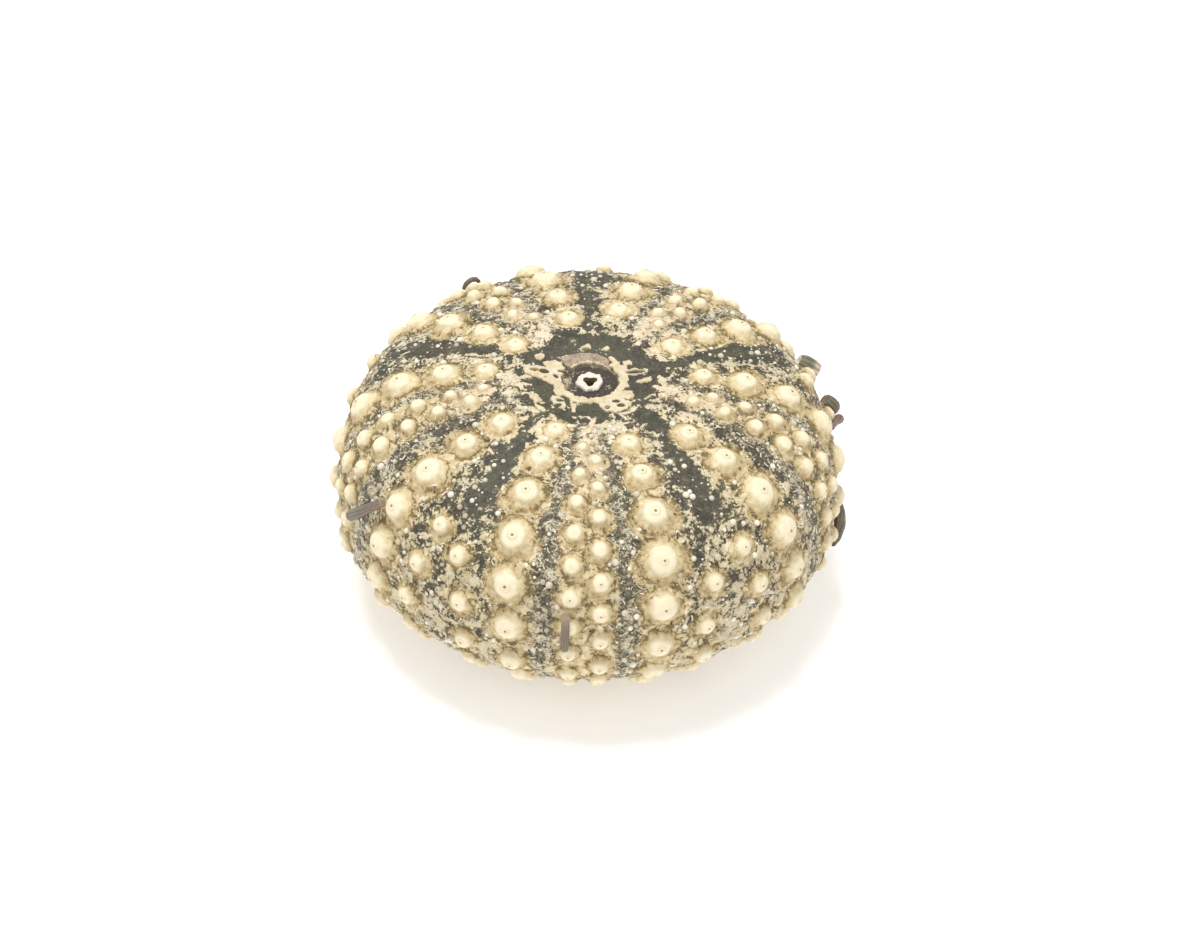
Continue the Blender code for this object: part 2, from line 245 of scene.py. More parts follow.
# How far each stub is let down onto the shell, where its colour turns, and its colours at its start,
# its end and its end faces
SPINE_LOOKS = {
    "spine_stub_left": (0.00038, 0.30, (0.27, 0.17, 0.13), (0.19, 0.16, 0.112), (0.28, 0.23, 0.155)),
    "spine_stub_front": (0.00028, 0.30, (0.38, 0.24, 0.17), (0.20, 0.168, 0.115), (0.28, 0.23, 0.155)),
    "spine_stub_right_upper": (0.00040, 0.62, (0.21, 0.195, 0.125), (0.72, 0.65, 0.46), (0.72, 0.65, 0.46)),
    "spine_stub_right_middle": (0.00034, 0.55, (0.18, 0.16, 0.11), (0.27, 0.165, 0.12), (0.17, 0.13, 0.09)),
    "spine_stub_right_small": (0.00066, 0.60, (0.23, 0.125, 0.095), (0.24, 0.19, 0.14), (0.17, 0.09, 0.07)),
    "spine_stub_right_lower": (0.00045, 0.50, (0.20, 0.19, 0.11), (0.15, 0.12, 0.08), (0.08, 0.06, 0.04)),
    "spine_stub_back_left": (0.00028, 0.50, (0.20, 0.16, 0.11), (0.20, 0.16, 0.11), (0.24, 0.19, 0.13)),
}

# Spine meshes: rings, points round each ring, flutes, and the rings of the broken end faces
SPINE_RINGS = 33
SPINE_AROUND = 40
SPINE_FLUTES = 10
SPINE_CAPS = (0.80, 0.45)

# The stage: the floor's half side, its glow, the strength of the surround, and the lamps by name,
# place, size and power
FLOOR_HALF = 3.0
FLOOR_GLOW = 0.32
SURROUND = 0.56
LAMPS = (("key", (-0.08, 0.05, 0.66), 0.30, 3.5), ("fill", (0.10, -0.50, 0.40), 0.60, 0.8))

# The camera's place and lens, and how far the shell leans and turns under it, in radians
CAMERA_DISTANCE = 0.56
CAMERA_LIFT = 0.71773
CAMERA_LENS = 153.48
CAMERA_SIDE = 0.00140
CAMERA_RISE = 0.00362
SHELL_LEAN = 0.0205
SHELL_TURN = -0.0113
SENSOR = 36.0

MATH = "ShaderNodeMath"
FLOAT_SOCKET = "NodeSocketFloat"
INT_SOCKET = "NodeSocketInt"
OBJECT_SOCKET = "NodeSocketObject"
MATERIAL_SOCKET = "NodeSocketMaterial"
GEOMETRY_SOCKET = "NodeSocketGeometry"


def infix(operation, turned=False):
    """A method that adds a Math node for one of Python's operators."""

    def method(self, other):
        values = (other, self) if turned else (self, other)
        return self.graph.node(MATH, {"operation": operation}, values)

    return method


class Term:
    """A socket of a node tree that can stand in a Python expression."""

    __add__ = __radd__ = infix("ADD")
    __sub__ = infix("SUBTRACT")
    __rsub__ = infix("SUBTRACT", True)
    __mul__ = __rmul__ = infix("MULTIPLY")
    __truediv__ = infix("DIVIDE")
    __pow__ = infix("POWER")
    larger = infix("MAXIMUM")
    smaller = infix("MINIMUM")

    def __init__(self, graph, socket):
        self.graph = graph
        self.socket = socket

    def __neg__(self):
        return self * -1.0

    def __abs__(self):
        return self.math("ABSOLUTE")

    def out(self, name):
        """Another output of the same node."""
        return Term(self.graph, self.socket.node.outputs[name])

    def math(self, operation, *values):
        return self.graph.node(MATH, {"operation": operation}, (self, *values))

    def smooth(self, low, high):
        """0 below low, 1 above high and a smooth step between; falls where low is above high."""
        settings = {"interpolation_type": "SMOOTHSTEP"}
        return self.graph.node("ShaderNodeMapRange", settings, (self, low, high, 0.0, 1.0))

    def bell(self, middle, width):
        """1 at the middle, falling off on both sides."""
        away = (self - middle) / width
        return (-(away * away)).math("EXPONENT")


class Graph:
    """A node tree that is written as calls and expressions."""

    def __init__(self, tree):
        self.tree = tree

    def join(self, value, socket):
        if isinstance(value, Term):
            self.tree.links.new(value.socket, socket)
        elif socket.type == "RGBA":
            socket.default_value = (*value[:3], 1.0)
        else:
            socket.default_value = value

    def node(self, kind, settings=None, values=()):
        """Adds a node: its settings first, then what its sockets hold, by order or by name."""
        made = self.tree.nodes.new(kind)
        for name, value in (settings or {}).items():
            if name == "stops":
                set_stops(made.color_ramp, value)
            else:
                setattr(made, name, value)
        pairs = values.items() if isinstance(values, dict) else enumerate(values)
        for key, value in pairs:
            self.join(value, made.inputs[key])
        shown = [socket for socket in made.outputs if socket.enabled]
        return Term(self, shown[0]) if shown else made

    def mix(self, share, low, high):
        """A colour between two colours."""
        settings = {"data_type": "RGBA", "clamp_factor": True}
        return self.node("ShaderNodeMix", settings, {0: share, 6: low, 7: high})

    def between(self, share, low, high):
        """A number between two numbers."""
        return low + (high - low) * share

    def random(self, seed, low, high):
        """A random number for each element."""
        return self.node("FunctionNodeRandomValue", {"data_type": "FLOAT"}, {2: low, 3: high, "Seed": seed})

    def noise(self, place, scale, detail=2.0, roughness=0.5, distortion=0.0):
        values = {"Vector": place, "Scale": scale, "Detail": detail, "Roughness": roughness,
                  "Distortion": distortion}
        return self.node("ShaderNodeTexNoise", None, values)

    def speckle(self, place, *kind):
        """Noise about zero, mostly between -0.5 and 0.5."""
        return (self.noise(place, *kind) - 0.5) * 3.0

    def vector(self, operation, first, other):
        """What a Vector Math node makes of two vectors, or of a vector and a scale."""
        key = "Scale" if operation == "SCALE" else 1
        return self.node("ShaderNodeVectorMath", {"operation": operation}, {0: first, key: other})

    def triple(self, x, y, z):
        """A vector of three numbers."""
        return self.node("ShaderNodeCombineXYZ", None, (x, y, z))

    def apart(self, place):
        """The three numbers of a vector, as outputs X, Y and Z."""
        return self.node("ShaderNodeSeparateXYZ", None, (place,))


def set_stops(ramp, stops):
    """Gives a colour ramp its (place, colour) stops."""
    while len(ramp.elements) < len(stops):
        ramp.elements.new(1.0)
    for element, (place, colour) in zip(ramp.elements, stops):
        element.position = place
        element.color = (*colour[:3], 1.0)


def smooth_step(low, high, value):
    share = np.clip((value - low) / (high - low), 0.0, 1.0)
    return share * share * (3.0 - 2.0 * share)


class Crest:
    """The smooth curve over the tubercles' tips, from the apex to the mouth, by arc length."""

    def __init__(self):
        turn = np.linspace(0.0, math.pi / 2, CURVE_POINTS)
        crown_bend = 2.0 / CROWN_POWER
        base_bend = 2.0 / BASE_POWER
        crown_r = AMBITUS_RADIUS * np.sin(turn) ** crown_bend
        crown_z = BASE_DEPTH + CROWN_HEIGHT * np.clip(np.cos(turn), 0, 1) ** crown_bend
        reach = AMBITUS_RADIUS - MOUTH_CREST_RADIUS
        base_r = MOUTH_CREST_RADIUS + reach * np.clip(np.cos(turn), 0, 1) ** base_bend
        base_z = BASE_DEPTH * (1.0 - np.sin(turn) ** base_bend)
        radius = np.concatenate([crown_r, base_r[1:]])
        height = np.concatenate([crown_z, base_z[1:]])
        height = height - DISC_DIP * np.exp(-((radius / DISC_DIP_RADIUS) ** 2))
        steps = np.hypot(np.diff(radius), np.diff(height))
        self.arc = np.concatenate([[0.0], np.cumsum(steps)])
        self.radius = radius
        self.height = height
        slope_r = np.gradient(radius, self.arc)
        slope_z = np.gradient(height, self.arc)
        length = np.hypot(slope_r, slope_z)
        self.out_r = -slope_z / length
        self.out_z = slope_r / length

    def at(self, arc, lift=0.0):
        """(radius, height) at an arc length, moved out of the shell by lift."""
        radius = np.interp(arc, self.arc, self.radius)
        height = np.interp(arc, self.arc, self.height)
        out_r = np.interp(arc, self.arc, self.out_r)
        out_z = np.interp(arc, self.arc, self.out_z)
        return radius + lift * out_r, height + lift * out_z

    def place(self, azimuth, arc, lift=0.0):
        """The points at azimuths, arc lengths from the apex and heights over the crest."""
        radius, height = self.at(arc, lift)
        x = AXIS_PLACE[0] + radius * np.cos(azimuth)
        y = AXIS_PLACE[1] + radius * np.sin(azimuth)
        return np.stack([x, y, height + np.zeros_like(x)], -1)

    def out(self, azimuth, arc):
        """The directions straight out of the shell."""
        out_r = np.interp(arc, self.arc, self.out_r)
        out_z = np.interp(arc, self.arc, self.out_z)
        return np.stack([out_r * np.cos(azimuth), out_r * np.sin(azimuth), out_z], -1)

    def arc_at_radius(self, radius, from_base):
        if from_base:
            return np.interp(-radius, -self.radius[CURVE_POINTS:], self.arc[CURVE_POINTS:])
        return np.interp(radius, self.radius[:CURVE_POINTS], self.arc[:CURVE_POINTS])


CREST = Crest()


def rise_at(arc):
    """How far the plates lie under the crest at an arc length."""
    grown = RISE_AT_DISC + (RISE_ON_FLANK - RISE_AT_DISC) * smooth_step(*RISE_GROWS, arc)
    return grown * (1.0 - smooth_step(*RISE_ENDS, arc))


def column_arcs(start):
    """Arc lengths of a column's tubercles. The rows are widest apart at the ambitus."""
    rows = [FIRST_ROW]
    while rows[-1] < LAST_ROW + ROW_STEP:
        ahead = rows[-1] + ROW_STEP / 2 - ROW_STEP_ARC
        rows.append(rows[-1] + max(ROW_STEP - ROW_STEP_FALL * ahead * ahead, ROW_STEP / 3))
    wanted = np.arange(start % 1.0 if start > 0.05 else start, len(rows) - 1)
    arcs = np.interp(wanted, range(len(rows)), rows)
    return arcs[arcs < LAST_ROW]


def tubercles():
    """(azimuth, arc, dome radius) of every tubercle, in a list for each kind."""
    primary, secondary, ambulacral = [], [], []
    for ray, middle in enumerate(RAY_MIDDLES):
        for side, start in zip((-1, 1), ROW_STARTS[ray]):
            for arc in column_arcs(start):
                angle = COLUMN_ANGLE - COLUMN_NARROWING * (arc - COLUMN_ANGLE_ARC)
                dome = np.interp(arc, PRIMARY_ARCS, PRIMARY_DOMES)
                primary.append((middle + side * angle, arc, dome))
            for arc in column_arcs((start + SECONDARY_LAG) % 1.0):
                if arc >= SECONDARY_FIRST:
                    angle = np.interp(arc, SECONDARY_ARCS, SECONDARY_ANGLES)
                    dome = np.interp(arc, SECONDARY_ARCS, SECONDARY_DOMES)
                    secondary.append((middle + side * (RAY_STEP / 2 - angle), arc, dome))
            first = AMBULACRAL_FIRST + (side + 1) * AMBULACRAL_STEP / 4
            for arc in np.arange(first, LAST_ROW, AMBULACRAL_STEP):
                dome = np.interp(arc, AMBULACRAL_ARCS, AMBULACRAL_DOMES)
                azimuth = middle + AMBULACRUM_SHIFTS[ray] + side * AMBULACRAL_ANGLE
                ambulacral.append((azimuth, arc, dome))
    kinds = {"primary": primary, "secondary": secondary, "ambulacral": ambulacral}
    return {kind: np.array(rows) for kind, rows in kinds.items()}


def link(obj):
    bpy.context.scene.collection.objects.link(obj)
    return obj


def drop(*objects):
    for obj in objects:
        bpy.data.objects.remove(obj, do_unlink=True)


def marks(name, places, attributes):
    """A cloud of points with a number or a vector at each, for a node tree to read."""
    mesh = bpy.data.meshes.new(name)
    mesh.from_pydata([tuple(place) for place in places], [], [])
    for key, values in attributes.items():
        values = np.asarray(values, float)
        kind = "FLOAT" if values.ndim == 1 else "FLOAT_VECTOR"
        field = "value" if values.ndim == 1 else "vector"
        mesh.attributes.new(key, kind, "POINT").data.foreach_set(field, values.ravel())
    return link(bpy.data.objects.new(name, mesh))


def new_tree(name, sockets):
    """A geometry node tree with its inputs, given as (name, type, default), and its graph."""
    tree = bpy.data.node_groups.new(name, "GeometryNodeTree")
    tree.interface.new_socket("Geometry", in_out="OUTPUT", socket_type=GEOMETRY_SOCKET)
    for key, kind, default in (("Geometry", GEOMETRY_SOCKET, None), *sockets):
        socket = tree.interface.new_socket(key, in_out="INPUT", socket_type=kind)
        if default is not None:
            socket.default_value = default
    graph = Graph(tree)
    source = tree.nodes.new("NodeGroupInput")
    terms = {socket.name: Term(graph, socket) for socket in source.outputs if socket.name}
    return tree, graph, terms


def end_tree(graph, geometry):
    sink = graph.tree.nodes.new("NodeGroupOutput")
    graph.join(geometry, sink.inputs[0])


def end_piece(graph, geometry, given):
    """Ends a tree with smooth faces and the piece's material."""
    values = {"Geometry": geometry, "Shade Smooth": True}
    made = graph.node("GeometryNodeSetShadeSmooth", None, values)
    values = {"Geometry": made, "Material": given["Finish"]}
    end_tree(graph, graph.node("GeometryNodeSetMaterial", None, values))


def add_tree(obj, tree, values):
    """Puts a tree on an object and sets its named inputs."""
    modifier = obj.modifiers.new(tree.name, "NODES")
    modifier.node_group = tree
    for item in tree.interface.items_tree:
        if item.item_type == "SOCKET" and item.in_out == "INPUT" and item.name in values:
            modifier[item.identifier] = values[item.name]
    return modifier


def bake_modifiers(obj):
    """Replaces the object's mesh by what its modifiers make of it."""
    bpy.context.view_layer.update()
    graph = bpy.context.evaluated_depsgraph_get()
    made = bpy.data.meshes.new_from_object(obj.evaluated_get(graph))
    before = obj.data
    obj.modifiers.clear()
    obj.data = made
    made.name = obj.name
    bpy.data.meshes.remove(before)
    return obj


def finish_piece(obj, slot, *nodes):
    """The piece rides on the shell's body and stands for the given solids, which it hides. The slot is not
    used.
    """
    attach(obj, "root")
    if nodes:
        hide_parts(*nodes)
    return obj


def named(graph, name, kind="FLOAT"):
    return graph.node("GeometryNodeInputNamedAttribute", {"data_type": kind}, {"Name": name})


def store(graph, geometry, name, value, domain="POINT"):
    settings = {"data_type": "FLOAT", "domain": domain}
    values = {"Geometry": geometry, "Name": name, "Value": value}
    return graph.node("GeometryNodeStoreNamedAttribute", settings, values)


def store_all(graph, geometry, fields):
    """Leaves each field on the points under its name."""
    for name, value in fields.items():
        geometry = store(graph, geometry, name, value)
    return geometry


class NearestMark:
    """What the nearest point of a cloud holds, at each point of a surface."""

    def __init__(self, graph, cloud, place):
        self.graph = graph
        info = graph.node("GeometryNodeObjectInfo", {"transform_space": "ORIGINAL"}, {"Object": cloud})
        self.cloud = info.out("Geometry")
        self.index = graph.node("GeometryNodeSampleNearest", {"domain": "POINT"}, (self.cloud, place))

    def read(self, value, kind="FLOAT"):
        settings = {"data_type": kind, "domain": "POINT"}
        return self.graph.node("GeometryNodeSampleIndex", settings, (self.cloud, value, self.index))

    def number(self, name):
        return self.read(named(self.graph, name))

    def place(self):
        return self.read(self.graph.node("GeometryNodeInputPosition"), "FLOAT_VECTOR")


def wrapped(angle):
    """An angle brought between minus half a turn and half a turn."""
    return angle.math("WRAP", math.pi, -math.pi)


def relief_tree():
    """Node tree that raises the shell's relief and leaves on it the fields that its finish reads."""
    sockets = (
        ("Primary", OBJECT_SOCKET, None),
        ("Secondary", OBJECT_SOCKET, None),
        ("Ambulacral", OBJECT_SOCKET, None),
        ("Areole Depth", FLOAT_SOCKET, AREOLE_DEPTH),
        ("Crust Grain", FLOAT_SOCKET, CRUST_GRAIN),
    )
    tree, graph, given = new_tree("shell relief", sockets)
    place = graph.node("GeometryNodeInputPosition")
    shifted = graph.vector("SUBTRACT", place, AXIS_PLACE)
    apart = graph.apart(shifted)
    x, y = apart.out("X"), apart.out("Y")
    distance = (x * x + y * y).math("SQRT")
    azimuth = y.math("ARCTAN2", x)
    arc = named(graph, "arc")
    outside = arc.math("GREATER_THAN", -0.5 * MM)
    rough = graph.noise(place, 1500.0, 3.0, 0.6) - 0.5
    knobs = graph.noise(place, 800.0, 2.0) - 0.5

    raised = None
    for kind, reach_here in REACHES.items():
        near = NearestMark(graph, given[kind], place)
        gap = graph.vector("DISTANCE", place, near.place()).out("Value")
        dome = near.number("dome")
        top = near.number("top")
        here = gap / dome
        ball = (1.0 - here ** BALL_POWER).larger(0.0).math("SQRT")
        skirt = (here + knobs * 0.8).smooth(AREOLE_SHARE, 0.7)
        bump = top * (ball * BALL_SHARE + skirt * SKIRT_SHARE)
        moat = here.bell(AREOLE_SHARE * 0.9, 0.3) * given["Areole Depth"] * top / RISE_ON_FLANK
        below = (arc - near.number("arc")) / dome
        if raised is None:
            raised, deep, share, down, reach = bump, moat, here, below, reach_here
            continue
        closer = (here / reach_here).math("LESS_THAN", share / reach)
        down = graph.between(closer, down, below)
        reach = closer * (-(reach - reach_here)) + reach
        raised = raised.larger(bump)
        deep = deep.larger(moat)
        share = graph.between(closer, share, here)
    relief = graph.between(raised.math("GREATER_THAN", deep), raised - deep, raised)

    shifted_rays = [middle + shift for middle, shift in zip(RAY_MIDDLES, AMBULACRUM_SHIFTS)]
    ray_turn = reduce(Term.smaller, [abs(wrapped(azimuth - middle)) for middle in shifted_rays])
    even_turn = reduce(Term.smaller, [abs(wrapped(azimuth - middle)) for middle in RAY_MIDDLES])
    column_turn = COLUMN_ANGLE - (arc - COLUMN_ANGLE_ARC) * COLUMN_NARROWING
    ridge = ray_turn.smooth(AMBULACRUM_HALF, 0.0)
    fades = arc.smooth(AMBULACRUM_FADES[1], AMBULACRUM_FADES[0])
    relief = relief + ridge * arc.smooth(*RIDGE_STARTS) * fades * AMBULACRUM_RISE

    leaning = arc.smooth(BAND_LEANS[1], BAND_LEANS[0])
    bands = [leaning * math.radians(lean) + math.radians(degrees) for degrees, lean in BANDS]
    band_away = reduce(Term.smaller, [abs(wrapped(azimuth - middle)) * distance for middle in bands])

    relief = relief - distance.smooth(*MEMBRANE_EDGE) * (MEMBRANE_DEPTH * 1.8)
    gravel = share.smooth(1.35, 2.0)
    bare = (band_away / MM).smooth(*BAND_EDGE).larger(arc.smooth(*BAND_ENDS)) * arc.smooth(*CRUST_STARTS)
    relief = relief + (knobs * 1.3 + rough) * given["Crust Grain"] * (gravel + 0.06) * (bare * 0.8 + 0.2)
    relief = relief * outside

    fields = {
        "share": share.smaller(6.0),
        "reach": reach,
        # down: how far a point lies towards the mouth from its tubercle, in dome radii; the finish reads it
        # for the areoles' reach and for painted shade on the tubercles' lower sides
        "down": down.larger(-3.0).smaller(3.0),
        "ray": ray_turn * distance / MM,
        "band": band_away / MM,
        "column": abs(even_turn - column_turn) * distance / MM,
        "outside": outside,
        # vent marks the inside of the wall round the vent, where shade is painted dark
        "vent": distance.smooth(0.0013, 0.0011) * (1.0 - outside),
    }
    geometry = store_all(graph, given["Geometry"], fields)
    normal = graph.node("GeometryNodeInputNormal")
    offset = graph.vector("SCALE", normal, relief)
    moved = graph.node("GeometryNodeSetPosition", None, {"Geometry": geometry, "Offset": offset})
    end_tree(graph, moved)
    return tree


def ellipse(x, y, blob):
    """Distance in mm out of an ellipse (x, y, half length, half width, turn in degrees)."""
    middle_x, middle_y, half_x, half_y, degrees = blob
    cosine, sine = math.cos(math.radians(degrees)), math.sin(math.radians(degrees))
    off_x, off_y = x - middle_x, y - middle_y
    along = (off_x * cosine + off_y * sine) / half_x
    across = (off_y * cosine - off_x * sine) / half_y
    return ((along * along + across * across).math("SQRT") - 1.0) * min(half_x, half_y)


def disc_tree():
    """Node tree that shapes the apical disc: ring, star lobes, sieve plate, pores, skin and rosette."""
    sockets = (
        ("Steps", INT_SOCKET, DISC_STEPS),
        ("Plate Rise", FLOAT_SOCKET, 0.20),
        ("Skin Depth", FLOAT_SOCKET, 0.10),
        ("Finish", MATERIAL_SOCKET, None),
    )
    tree, graph, given = new_tree("apical disc", sockets)
    side = 2 * DISC_HALF * MM
    values = {"Size X": side, "Size Y": side, "Vertices X": given["Steps"], "Vertices Y": given["Steps"]}
    grid = graph.node("GeometryNodeMeshGrid", None, values)
    place = graph.node("GeometryNodeInputPosition")
    apart = graph.apart(place)
    x, y = apart.out("X") / MM, apart.out("Y") / MM
    distance = (x * x + y * y).math("SQRT")
    azimuth = y.math("ARCTAN2", x)
    ragged = (graph.noise(place, 1000.0, 3.0, 0.65) - 0.5) * 1.5
    lumps = graph.noise(place, 1500.0, 2.0) - 0.5
    grain = graph.noise(place, 4500.0, 2.0) - 0.5

    ring = abs(distance - RING_MIDDLE) - RING_HALF
    plate = reduce(Term.smaller, [ellipse(x, y, blob) for blob in PLATES], ring)
    sieve = ellipse(x, y, SIEVE_PLATE)
    back_rim = abs(distance - 2.84) - 0.11 + (1.3 - y).larger(0.0) + ragged * 0.35
    plate = ((plate - 0.16).larger(-sieve) + ragged * 0.9 + lumps * 0.4).smaller(back_rim)
    sieve = sieve + ragged * 0.35
    holes, edges, tints = [], [], []
    for *blob, dark in PORES:
        away = ellipse(x, y, blob) + ragged * 0.15
        holes.append(away.smooth(0.12, -0.02))
        edges.append(away.bell(0.20, 0.09))
        # How much of each pore is painted dark as shade rather than tan as dried skin
        tints.append(holes[-1] * dark)
    pit, rim, tint = (reduce(Term.larger, terms) for terms in (holes, edges, tints))

    inner = distance.smooth(2.60, 2.80)
    on_plate = plate.smooth(0.05, -0.11)
    on_sieve = sieve.smooth(0.06, -0.14) * inner
    plate_top = given["Plate Rise"] + lumps * 0.20 + ragged * 0.06 + grain * 0.16 + rim * 0.06
    sieve_top = sieve.smooth(0.0, -1.6) * 0.20 + 0.12 + grain * 0.22 + lumps * 0.12
    level = graph.between(on_plate, DISC_FLOOR, plate_top)
    level = level.larger(graph.between(on_sieve, DISC_FLOOR, sieve_top))
    skin = distance.smooth(3.15, 3.0) * 0.3 - 0.55 - given["Skin Depth"] + lumps * 0.35 + grain * 0.15
    level = level.larger(skin)
    corners = ((azimuth - FRONT) * VENT_CORNERS).math("COSINE")
    hole = distance / (corners * VENT_CORNER_SHARE + 1.0)
    lobed = distance + ragged * 0.60 - (azimuth * 7.0 + 1.0).math("COSINE") * 0.07
    rosette = lobed.smooth(ROSETTE_RADIUS / MM - 0.13, ROSETTE_RADIUS / MM - 0.36)
    scales = rosette * 0.45 - 0.36 + lumps * 0.25 + grain * 0.12
    level = level.larger(scales + (hole - 0.65).smooth(0.0, 0.45) * 0.08)
    # The vent's funnel, where shade is painted dark brown
    vent = (hole + ragged * 0.08).smooth(0.70, 0.62)
    level = level - pit * 0.19 - hole.smooth(0.66, 0.52) * 0.25 - hole.smooth(0.46, 0.36) * 0.9

    share = distance / (AMBITUS_RADIUS / MM)
    crown = ((1.0 - share ** CROWN_POWER) ** (1.0 / CROWN_POWER)) * (CROWN_HEIGHT / MM) + BASE_DEPTH / MM
    sunk = distance / (DISC_DIP_RADIUS / MM)
    crown = crown - (-(sunk * sunk)).math("EXPONENT") * (DISC_DIP / MM)
    rise = distance.smooth(RISE_GROWS[0] / MM, RISE_GROWS[1] / MM) * ((RISE_ON_FLANK - RISE_AT_DISC) / MM)
    height = crown - rise - RISE_AT_DISC / MM + level
    at = graph.triple(x * MM + AXIS_PLACE[0], y * MM + AXIS_PLACE[1], height * MM)

    fields = {
        "plate": on_plate,
        "sieve": on_sieve,
        "rosette": rosette.smooth(0.30, 0.60),
        "skin": distance.smooth(3.0, 2.85),
        "pit": pit,
        "tint": tint,
        "rim": rim * on_plate,
        "vent": vent,
        "level": level,
    }
    geometry = store_all(graph, grid, fields)
    gone = plate.smaller(sieve).smaller(distance - 3.05).math("GREATER_THAN", 0.10)
    gone = gone.larger(hole.math("LESS_THAN", 0.28))
    kept = graph.node("GeometryNodeDeleteGeometry", None, {"Geometry": geometry, "Selection": gone})
    moved = graph.node("GeometryNodeSetPosition", None, {"Geometry": kept, "Position": at})
    end_piece(graph, moved, given)
    return tree


def wall_outline():
    """The closed section of the wall, with each point's arc length, or -1 mm on the inside."""
    start = CREST.arc_at_radius(VENT_RADIUS, False)
    end = CREST.arc_at_radius(REST_RING_OUTER, True)
    coarse = 1.0
    disc = np.arange(start, DISC_ARC, DISC_SPACING * coarse)
    crown = np.arange(DISC_ARC, CROWN_ARC, CROWN_SPACING * coarse)
    base = np.arange(CROWN_ARC, end - BASE_SPACING, BASE_SPACING * coarse)
    outer_arc = np.concatenate([disc, crown, base])
    outer = np.stack(CREST.at(outer_arc, -rise_at(outer_arc)), 1)
    turn = np.linspace(0.0, math.pi, LIP_STEPS + 1)
    lip_r = REST_RING_INNER - WALL / 2 * np.sin(turn)
    lip_z = WALL / 2 * (1.0 - np.cos(turn))
    lip = np.stack([lip_r, lip_z], 1)
    inner_arc = np.arange(end, start + INSIDE_SPACING, -INSIDE_SPACING)
    inner = np.stack(CREST.at(inner_arc, -rise_at(inner_arc) - WALL), 1)
    vent_floor = [VENT_RADIUS, outer[0, 1] - WALL]
    outline = np.concatenate([outer, [[REST_RING_OUTER, 0.0]], lip, inner, [vent_floor]])
    arcs = np.concatenate([outer_arc, np.full(len(outline) - len(outer_arc), -MM)])
    return outline, arcs


def turned_wall(name):
    """The plain wall of the shell, turned about its axis."""
    outline, arcs = wall_outline()
    mesh = bpy.data.meshes.new(name)
    count = len(outline)
    mesh.from_pydata([(r, 0.0, z) for r, z in outline], [(i, (i + 1) % count) for i in range(count)], [])
    mesh.attributes.new("arc", "FLOAT", "POINT").data.foreach_set("value", arcs)
    obj = link(bpy.data.objects.new(name, mesh))
    screw = obj.modifiers.new("turn", "SCREW")
    screw.axis = "Z"
    screw.steps = screw.render_steps = TURN_STEPS // 1
    screw.use_merge_vertices = False
    bake_modifiers(obj)
    obj.data.transform(Matrix.Translation(AXIS_PLACE))
    return obj


def open_vent(obj):
    """Gives the vent its three corners and keeps the shell on its rest ring."""
    points = np.empty(len(obj.data.vertices) * 3)
    obj.data.vertices.foreach_get("co", points)
    points = points.reshape(-1, 3)
    local = points[:, :2] - AXIS_PLACE[:2]
    distance = np.hypot(local[:, 0], local[:, 1])
    azimuth = np.arctan2(local[:, 1], local[:, 0])
    near_vent = 1.0 - smooth_step(VENT_RADIUS, ROSETTE_RADIUS, distance)
    corners = np.cos(VENT_CORNERS * (azimuth - FRONT))
    local *= (1.0 + VENT_CORNER_SHARE * corners * near_vent)[:, None]
    points[:, :2] = local + AXIS_PLACE[:2]
    points[:, 2] = np.maximum(points[:, 2], 0.0)
    obj.data.vertices.foreach_set("co", points.ravel())
    obj.data.update()


def tubercle_marks():
    """A point cloud for each kind of tubercle, with its dome radius, its height and its arc length."""
    draw = np.random.default_rng(7)
    clouds = {}
    for kind, rows in tubercles().items():
        azimuth, arc, dome = rows.T
        height = rise_at(arc) * (dome / LARGEST_DOME) ** RISE_POWER
        fields = {"dome": dome * draw.uniform(0.92, 1.06, len(rows)), "top": height, "arc": arc}
        clouds[kind] = marks(kind + " marks", CREST.place(azimuth, arc, -rise_at(arc)), fields)
    return clouds


def new_material(name):
    """An empty Principled material, its graph, its shader node and the object coordinates."""
    material = bpy.data.materials.new(name)
    material.use_nodes = True
    graph = Graph(material.node_tree)
    shader = material.node_tree.nodes["Principled BSDF"]
    shader.inputs["Specular IOR Level"].default_value = 0.25
    return material, graph, shader, graph.node("ShaderNodeTexCoord").out("Object")


def surface(graph, shader, base, roughness, bump=None):
    """Gives the shader its colour, its roughness and a bump of (strength, distance, height)."""
    graph.join(base, shader.inputs["Base Color"])
    graph.join(roughness, shader.inputs["Roughness"])
    if bump:
        values = dict(zip(("Strength", "Distance", "Height"), bump))
        graph.join(graph.node("ShaderNodeBump", None, values), shader.inputs["Normal"])


def field(graph, name):
    """A number stored on the mesh."""
    return graph.node("ShaderNodeAttribute", {"attribute_name": name}).out("Fac")


def wandering(graph, place, amount):
    """The place, shifted in an irregular way, so that what follows it curls."""
    drift = graph.noise(place, 900.0).out("Color")
    drift = graph.vector("SUBTRACT", drift, (0.5, 0.5, 0.5))
    drift = graph.vector("SCALE", drift, amount)
    return graph.vector("ADD", place, drift)


